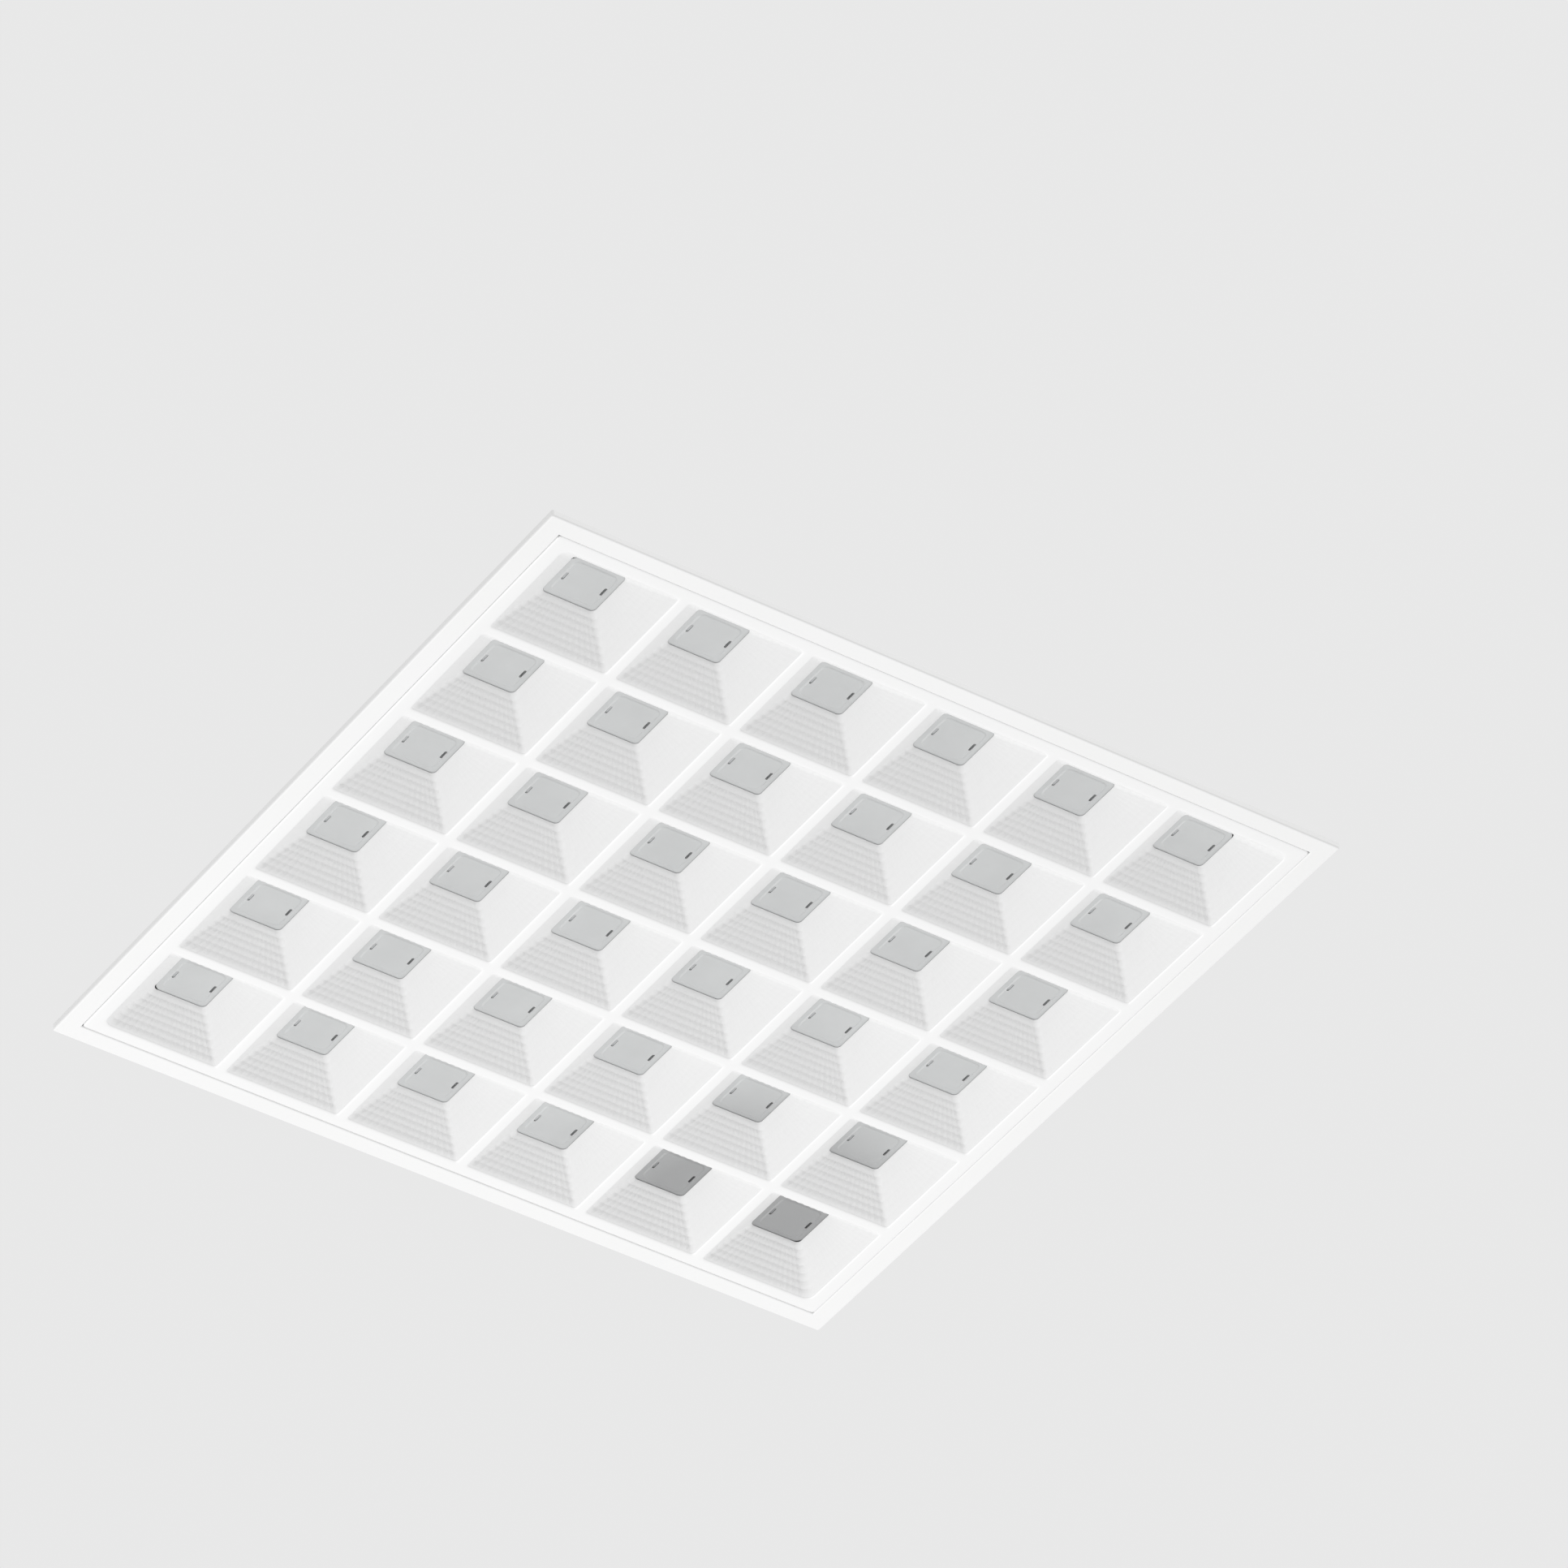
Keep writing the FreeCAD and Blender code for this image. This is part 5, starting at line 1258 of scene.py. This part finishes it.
class Finish:
    """A material under construction: a Principled shader and the effects placed before it."""

    def __init__(self, name, colour, roughness, metallic=0.0):
        old = bpy.data.materials.get(name)
        if old:
            old.name = f"{name}_packed"
        self.material = bpy.data.materials.new(name)
        self.material.use_nodes = True
        self.tree = self.material.node_tree
        self.paint((*colour, 1.0))
        self.feed("Roughness", roughness)
        self.feed("Metallic", metallic)

    def feed(self, label, source):
        """Give one of the shader's sockets a value or a link."""
        feed(self.tree, self.tree.nodes["Principled BSDF"].inputs[label], source)

    def paint(self, source):
        """Let the base colour come from a source, which a later effect may lie over."""
        self.top = source
        self.feed("Base Color", source)

    def place(self, group, **values):
        """Put one shared effect into the material with its own values."""
        tree = bpy.data.node_groups.get(group) or GROUP_MAKERS[group](group)
        return add_node(self.tree, "Group", values, node_tree=tree)

    def drift(self, shade, scale, amount=1.0):
        """Let the colour wander slowly between two close tones."""
        self.paint(self.place(
            "Tone drift", Colour=self.top, Shade=(*shade, 1.0), Scale=scale, Amount=amount
        )["Colour"])

    def overlay(self, mask, colour):
        """Lay a second colour over the first where a mask says so."""
        self.paint(mixed(self.tree, mask, self.top, (*colour, 1.0)))

    def dust(self, amount, scale):
        """Settle a little dust on what faces up."""
        self.overlay(self.place("Settled dust", Amount=amount, Scale=scale)["Mask"], DUST)

    def relief(self, height, strength, distance):
        """Turn a height into the shader's normal."""
        sources = {"Height": height, "Strength": strength, "Distance": distance}
        self.feed("Normal", add_node(self.tree, "Bump", sources)["Normal"])

    def grain(self, scale, strength=0.3):
        """Give the surface its fine grain."""
        self.relief(self.place("Surface grain", Scale=scale)["Height"], strength, GRAIN_DEPTH)

    def gloss_range(self, mask, low, high):
        """Let the roughness follow a mask between two values."""
        sources = {"Value": mask, "To Min": low, "To Max": high}
        self.feed("Roughness", add_node(self.tree, "MapRange", sources)["Result"])


def rim_paint(colours):
    """Smooth white powder coat."""
    coat = Finish("rim_paint", colours.rim, 0.42)
    coat.drift((0.89, 0.89, 0.885), 9.0, 0.6)
    coat.grain(1500.0, 0.25)
    return coat.material


def louvre_plastic(colours):
    """White moulding, with painted shade darkening the wells below the bars, and glossier on the bars than
    on the spark-eroded facets of the wells.
    """
    white = Finish("louvre_plastic", colours.louvre, 0.36)
    white.drift((0.905, 0.905, 0.905), 14.0, 0.6)
    # Painted shade: the colour darkens from the bars into the wells; the higher roughness there is the
    # facets' real matt finish
    wells = white.place("Height mask", Low=0.7 * MM, High=1.4 * MM)["Mask"]
    white.overlay(wells, colours.wells)
    white.gloss_range(wells, 0.36, 0.55)
    white.grain(2600.0, 0.15)
    return white.material


def lens_plastic(colours):
    """Frosted lenses, with painted shade darkening the two beside one corner."""
    frost = Finish("lens_plastic", colours.lens, 0.42)
    frost.drift(tuple(0.93 * part for part in colours.lens), 30.0, 0.8)
    # Painted shade: the lenses darken towards one corner, fully within the near reach and not at all past
    # the far one
    ends = {0: place_on(frost.tree), 1: PAINTED_SHADE_CENTRE}
    away = add_node(frost.tree, "VectorMath", ends, operation="DISTANCE")["Value"]
    frost.overlay(spread(frost.tree, away, PAINTED_SHADE_FAR, PAINTED_SHADE_NEAR), colours.dark_lens)
    frost.grain(1800.0, 0.4)
    return frost.material


def pan_steel(colours):
    """Pale coated sheet with a little dust."""
    coat = Finish("pan_steel", colours.pan, 0.45)
    coat.drift((0.84, 0.84, 0.83), 5.0, 0.6)
    coat.dust(0.1, 110.0)
    coat.grain(1200.0, 0.25)
    return coat.material


def zinc(name, colour, roughness, scale):
    """Zinc-coated steel with its crystals."""
    metal = Finish(name, colour, roughness, 0.85)
    spangle = metal.place("Zinc spangle", Scale=scale)
    metal.overlay(spangle["Tone"], tuple(0.86 * part for part in colour))
    metal.gloss_range(spangle["Tone"], roughness - 0.08, roughness + 0.1)
    metal.dust(0.1, 90.0)
    metal.relief(spangle["Height"], 0.12, 0.1 * MM)
    return metal.material


def plain_plastic(name, colour, roughness):
    """A small moulding with a fine spark-eroded grain."""
    part = Finish(name, colour, roughness)
    part.drift(tuple(0.93 * tone for tone in colour), 40.0)
    part.grain(1600.0)
    return part.material


def earth_sheath():
    """Green insulation with a yellow stripe along its upper side."""
    sheath = Finish("earth_sheath", EARTH_GREEN, 0.4)
    stripe = spread(sheath.tree, up_part(sheath.tree, "Normal"), *STRIPE_SLOPES)
    sheath.overlay(stripe, EARTH_YELLOW)
    sheath.grain(1600.0, 0.2)
    return sheath.material


def node_finishes(colours):
    """The finish of each slot that the CAD nodes carry."""
    finishes = [rim_paint(colours), louvre_plastic(colours), lens_plastic(colours), pan_steel(colours)]
    finishes += [zinc(name, *look) for name, look in ZINC_COATS.items()]
    finishes += [plain_plastic(name, *look) for name, look in PLASTICS.items()]
    finishes.append(earth_sheath())
    return {finish.name: finish for finish in finishes}


# Stage

LAMPS = (
    ("key_lamp", (-0.6, 3.3, -5.0), 2.4, 131.0),
    ("top_lamp", (1.5, -2.0, 4.5), 3.0, 70.0),
)
FLOOR_HALF = 12.0


def make_camera(settings):
    camera = bpy.data.cameras.new("camera")
    camera.lens = settings.camera_lens
    camera.sensor_width = 36.0
    camera.clip_start = 0.1
    camera.clip_end = 100.0
    holder = bpy.data.objects.new("camera", camera)
    place, aim = Vector(settings.camera_place), Vector(settings.camera_aim)
    level = (aim - place).to_track_quat("-Z", "Y")
    holder.rotation_mode = "QUATERNION"
    holder.rotation_quaternion = level @ Quaternion((0, 0, 1), settings.camera_roll)
    holder.location = place
    bpy.context.scene.collection.objects.link(holder)
    bpy.context.scene.camera = holder


def make_lamp(name, place, side, power):
    """A large soft lamp turned to the part."""
    lamp = bpy.data.lights.new(name, "AREA")
    lamp.shape = "SQUARE"
    lamp.size = side
    lamp.energy = power
    holder = bpy.data.objects.new(name, lamp)
    holder.location = place
    holder.rotation_mode = "QUATERNION"
    holder.rotation_quaternion = (-Vector(place)).to_track_quat("-Z", "Y")
    holder.visible_camera = False
    bpy.context.scene.collection.objects.link(holder)


def make_surroundings(strength, backdrop):
    """Even light from all around, which the camera and the gloss see as a pale backdrop."""
    world = bpy.data.worlds.new("surroundings")
    world.use_nodes = True
    tree = world.node_tree
    light = tree.nodes["Background"]
    light.inputs["Color"].default_value = WHITE
    light.inputs["Strength"].default_value = strength
    seen = add_node(tree, "Background", {"Color": (*backdrop, 1.0), "Strength": 1.0})["Background"]
    rays = add_node(tree, "LightPath", {})
    direct = rays["Is Camera Ray"]
    for kind in ("Is Glossy Ray", "Is Transmission Ray"):
        direct = math_node(tree, "MAXIMUM", direct, rays[kind])
    mix = add_node(tree, "MixShader", {"Fac": direct, 1: light.outputs["Background"], 2: seen})
    feed(tree, tree.nodes["World Output"].inputs["Surface"], mix["Shader"])
    bpy.context.scene.world = world


def make_floor(depth):
    """A plain pale floor far below the light."""
    corners = [(x * FLOOR_HALF, y * FLOOR_HALF, -depth) for x, y in ((-1, -1), (1, -1), (1, 1), (-1, 1))]
    mesh = bpy.data.meshes.new("floor")
    mesh.from_pydata(corners, [], [(0, 1, 2, 3)])
    pale = Finish("floor_paint", (0.9, 0.9, 0.9), 0.8)
    pale.drift((0.88, 0.88, 0.88), 1.5)
    mesh.materials.append(pale.material)
    floor = bpy.data.objects.new("floor", mesh)
    bpy.context.scene.collection.objects.link(floor)


# Operators


class LIGHT_OT_stage(Operator):
    """Make the camera, the lamps, the surroundings and the floor"""

    bl_idname = "light.stage"
    bl_label = "Stage"

    def execute(self, context):
        settings = context.scene.light_studio
        make_camera(settings)
        make_surroundings(settings.ambient, settings.backdrop)
        make_floor(settings.floor_depth)
        for lamp in LAMPS:
            make_lamp(*lamp)
        context.scene.view_settings.view_transform = "Standard"
        return {"FINISHED"}


class LIGHT_OT_finishes(Operator):
    """Give every CAD node its finish"""

    bl_idname = "light.finishes"
    bl_label = "Finishes"

    def execute(self, context):
        finishes = node_finishes(context.scene.light_colours)
        for node in NODES.values():
            for slot in node.material_slots:
                slot.material = finishes[slot.material.name.removesuffix("_packed")]
        return {"FINISHED"}


class LIGHT_OT_louvre(Operator):
    """Make the one-piece louvre with its faceted wells"""

    bl_idname = "light.louvre"
    bl_label = "Louvre"

    def execute(self, context):
        piece = make_louvre(context.scene.light_louvre, context.scene.light_rim.opening)
        dress(piece, "louvre_door", "louvre_plastic", "louvre")
        return {"FINISHED"}


class LIGHT_OT_lenses(Operator):
    """Make the lens strips, one behind each row of wells"""

    bl_idname = "light.lenses"
    bl_label = "Lenses"

    def execute(self, context):
        louvre, sizes = context.scene.light_louvre, context.scene.light_lenses
        for row in range(louvre.cells):
            piece = make_lens_row(f"lens_strip_{row + 1}", cell_middle(row, louvre), louvre, sizes)
            dress(piece, "housing", "lens_plastic", f"lens_row_{row + 1}")
        return {"FINISHED"}


class LIGHT_OT_rim(Operator):
    """Make the rolled rim"""

    bl_idname = "light.rim"
    bl_label = "Rim"

    def execute(self, context):
        dress(make_rim(context.scene.light_rim), "housing", "rim_paint", "front_frame")
        return {"FINISHED"}


class LIGHT_OT_pan(Operator):
    """Make the folded pan with its pressed beads"""

    bl_idname = "light.pan"
    bl_label = "Pan"

    def execute(self, context):
        scene = context.scene
        piece = make_pan(scene.light_pan, scene.light_louvre, scene.light_box)
        dress(piece, "housing", "pan_steel", "housing_pan")
        return {"FINISHED"}


class LIGHT_OT_box(Operator):
    """Make the driver box and its hinged cover"""

    bl_idname = "light.box"
    bl_label = "Driver box"

    def execute(self, context):
        sizes, base = context.scene.light_box, context.scene.light_pan.top
        dress(make_box(sizes, base), "housing", "box_steel", "driver_box")
        dress(make_lid(sizes, base), "box_lid", "box_steel", "driver_box_lid")
        return {"FINISHED"}


class LIGHT_OT_driver(Operator):
    """Make the driver that stands in the box"""

    bl_idname = "light.driver"
    bl_label = "Driver"

    def execute(self, context):
        dress(make_driver(), "housing", "driver_case", "driver")
        return {"FINISHED"}


class LIGHT_OT_sources(Operator):
    """Make the boards with their light sources and plug housings"""

    bl_idname = "light.sources"
    bl_label = "Light sources"

    def execute(self, context):
        louvre = context.scene.light_louvre
        for row in range(louvre.cells):
            middle = cell_middle(row, louvre)
            piece = make_packages(f"light_sources_{row + 1}", middle, louvre)
            dress(piece, "housing", "light_source", f"led_packages_{row + 1}")
            piece = make_board(f"light_board_{row + 1}", middle, louvre)
            dress(piece, "housing", "board_laminate", f"led_board_{row + 1}")
        dress(make_connectors(louvre), "housing", "connector_plastic", "board_connectors")
        return {"FINISHED"}


class LIGHT_OT_terminals(Operator):
    """Make the terminal block and its three wire-release levers"""

    bl_idname = "light.terminals"
    bl_label = "Terminals"

    def execute(self, context):
        dress(make_terminals(), "housing", "terminal_plastic", "terminal_block")
        for number, pole in enumerate(POLES, start=1):
            piece = make_lever(f"release_lever_{number}", pole)
            dress(piece, f"lever_{number}", "lever_plastic", f"terminal_lever_{number}")
        return {"FINISHED"}


class LIGHT_OT_clips(Operator):
    """Make the four hold-down clips that swing on their screws"""

    bl_idname = "light.clips"
    bl_label = "Hold-down clips"

    def execute(self, context):
        sizes = context.scene.light_clips
        for number, place in enumerate(clip_places(sizes), start=1):
            piece = make_clip(f"swing_clip_{number}", place, sizes)
            dress(piece, f"clip_{number}", "clip_steel", f"hold_down_clip_{number}")
        return {"FINISHED"}


class LIGHT_OT_fasteners(Operator):
    """Make the rivets, screws, posts, pins and magnets, and the earth stud"""

    bl_idname = "light.fasteners"
    bl_label = "Fasteners"

    def execute(self, context):
        clips = clip_places(context.scene.light_clips)
        boards = board_screw_places(context.scene.light_louvre)
        stud = [np.array(STUD_PLACE) * MM]
        fasteners = (
            ("blind_rivets", rivet_places(), RIVET, "steel_fittings", "frame_rivets"),
            ("strip_screws", boards, BOARD_SCREW, "steel_fittings", "board_screws"),
            ("pivot_screws", clips, CLIP_SCREW, "steel_fittings", "clip_screws"),
            ("case_screws", driver_screw_places(), DRIVER_SCREW, "steel_fittings", "driver_screws"),
            ("threaded_stud", stud, EARTH_STUD, "brass_fittings", "earth_stud"),
        )
        for name, places, profile, slot, node in fasteners:
            dress(turned(name, places, profile), "housing", slot, node)
        posts = turned("pivot_posts", clips, CLIP_POST, closed=True)
        dress(posts, "housing", "steel_fittings", "clip_posts")
        door, cover = (DOOR_PIN_ACROSS, DOOR_PIN_UP), (COVER_PIN_ACROSS, COVER_PIN_UP)
        pins = (
            ("door_pin_left", (-288.0, *door), HINGE_PIN, "louvre_door", "hinge_pin_left"),
            ("door_pin_right", (272.0, *door), HINGE_PIN, "louvre_door", "hinge_pin_right"),
            ("cover_pin_left", (-121.0, *cover), LID_PIN, "housing", "lid_pin_left"),
            ("cover_pin_right", (78.6, *cover), LID_PIN, "housing", "lid_pin_right"),
        )
        for name, place, profile, body, node in pins:
            dress(turned(name, [np.array(place) * MM], profile, "X"), body, "steel_fittings", node)
        for side, word in zip(SIDES, ("left", "right")):
            magnet = make_magnet(f"door_magnet_{word}", side)
            dress(magnet, "louvre_door", "magnet_plating", f"catch_magnet_{word}")
        return {"FINISHED"}


class LIGHT_OT_grommets(Operator):
    """Make the two rubber grommets"""

    bl_idname = "light.grommets"
    bl_label = "Grommets"

    def execute(self, context):
        sizes = context.scene.light_box
        inlet = [(-sizes.box_length / 2, 0.0, sizes.inlet_up)]
        piece = turned("cable_grommet", inlet, INLET_GROMMET, "X", closed=True)
        dress(piece, "housing", "grommet_rubber", "inlet_grommet")
        piece = turned("pan_grommet", [(sizes.lead_along, 0.0, 0.0)], LEAD_GROMMET, closed=True)
        dress(piece, "housing", "grommet_rubber", "lead_grommet")
        return {"FINISHED"}


OPERATORS = (
    LIGHT_OT_stage, LIGHT_OT_finishes, LIGHT_OT_louvre, LIGHT_OT_lenses, LIGHT_OT_rim, LIGHT_OT_pan,
    LIGHT_OT_box, LIGHT_OT_driver, LIGHT_OT_terminals, LIGHT_OT_sources, LIGHT_OT_clips,
    LIGHT_OT_fasteners, LIGHT_OT_grommets,
)


class LIGHT_PT_panel(Panel):
    """Lists the pieces of the light"""

    bl_idname = "LIGHT_PT_panel"
    bl_label = "Recessed light"
    bl_space_type = "VIEW_3D"
    bl_region_type = "UI"
    bl_category = "Light"

    def draw(self, context):
        for operator in OPERATORS:
            self.layout.operator(operator.bl_idname)


PROPERTY_GROUPS = {
    "light_louvre": LouvreSizes,
    "light_lenses": LensSizes,
    "light_rim": RimSizes,
    "light_pan": PanSizes,
    "light_box": BoxSizes,
    "light_clips": ClipSizes,
    "light_colours": Colours,
    "light_studio": StudioSettings,
}
CLASSES = (*PROPERTY_GROUPS.values(), *OPERATORS, LIGHT_PT_panel)


def register():
    for item in CLASSES:
        bpy.utils.register_class(item)
    for name, group in PROPERTY_GROUPS.items():
        setattr(bpy.types.Scene, name, PointerProperty(type=group))


def unregister():
    for name in PROPERTY_GROUPS:
        delattr(bpy.types.Scene, name)
    for item in reversed(CLASSES):
        bpy.utils.unregister_class(item)


def main():
    register()
    bpy.ops.light.stage()
    bpy.ops.light.finishes()
    bpy.ops.light.louvre()
    bpy.ops.light.lenses()
    bpy.ops.light.rim()
    bpy.ops.light.pan()
    bpy.ops.light.box()
    bpy.ops.light.driver()
    bpy.ops.light.terminals()
    bpy.ops.light.sources()
    bpy.ops.light.clips()
    bpy.ops.light.fasteners()
    bpy.ops.light.grommets()


if __name__ == "__main__":
    main()
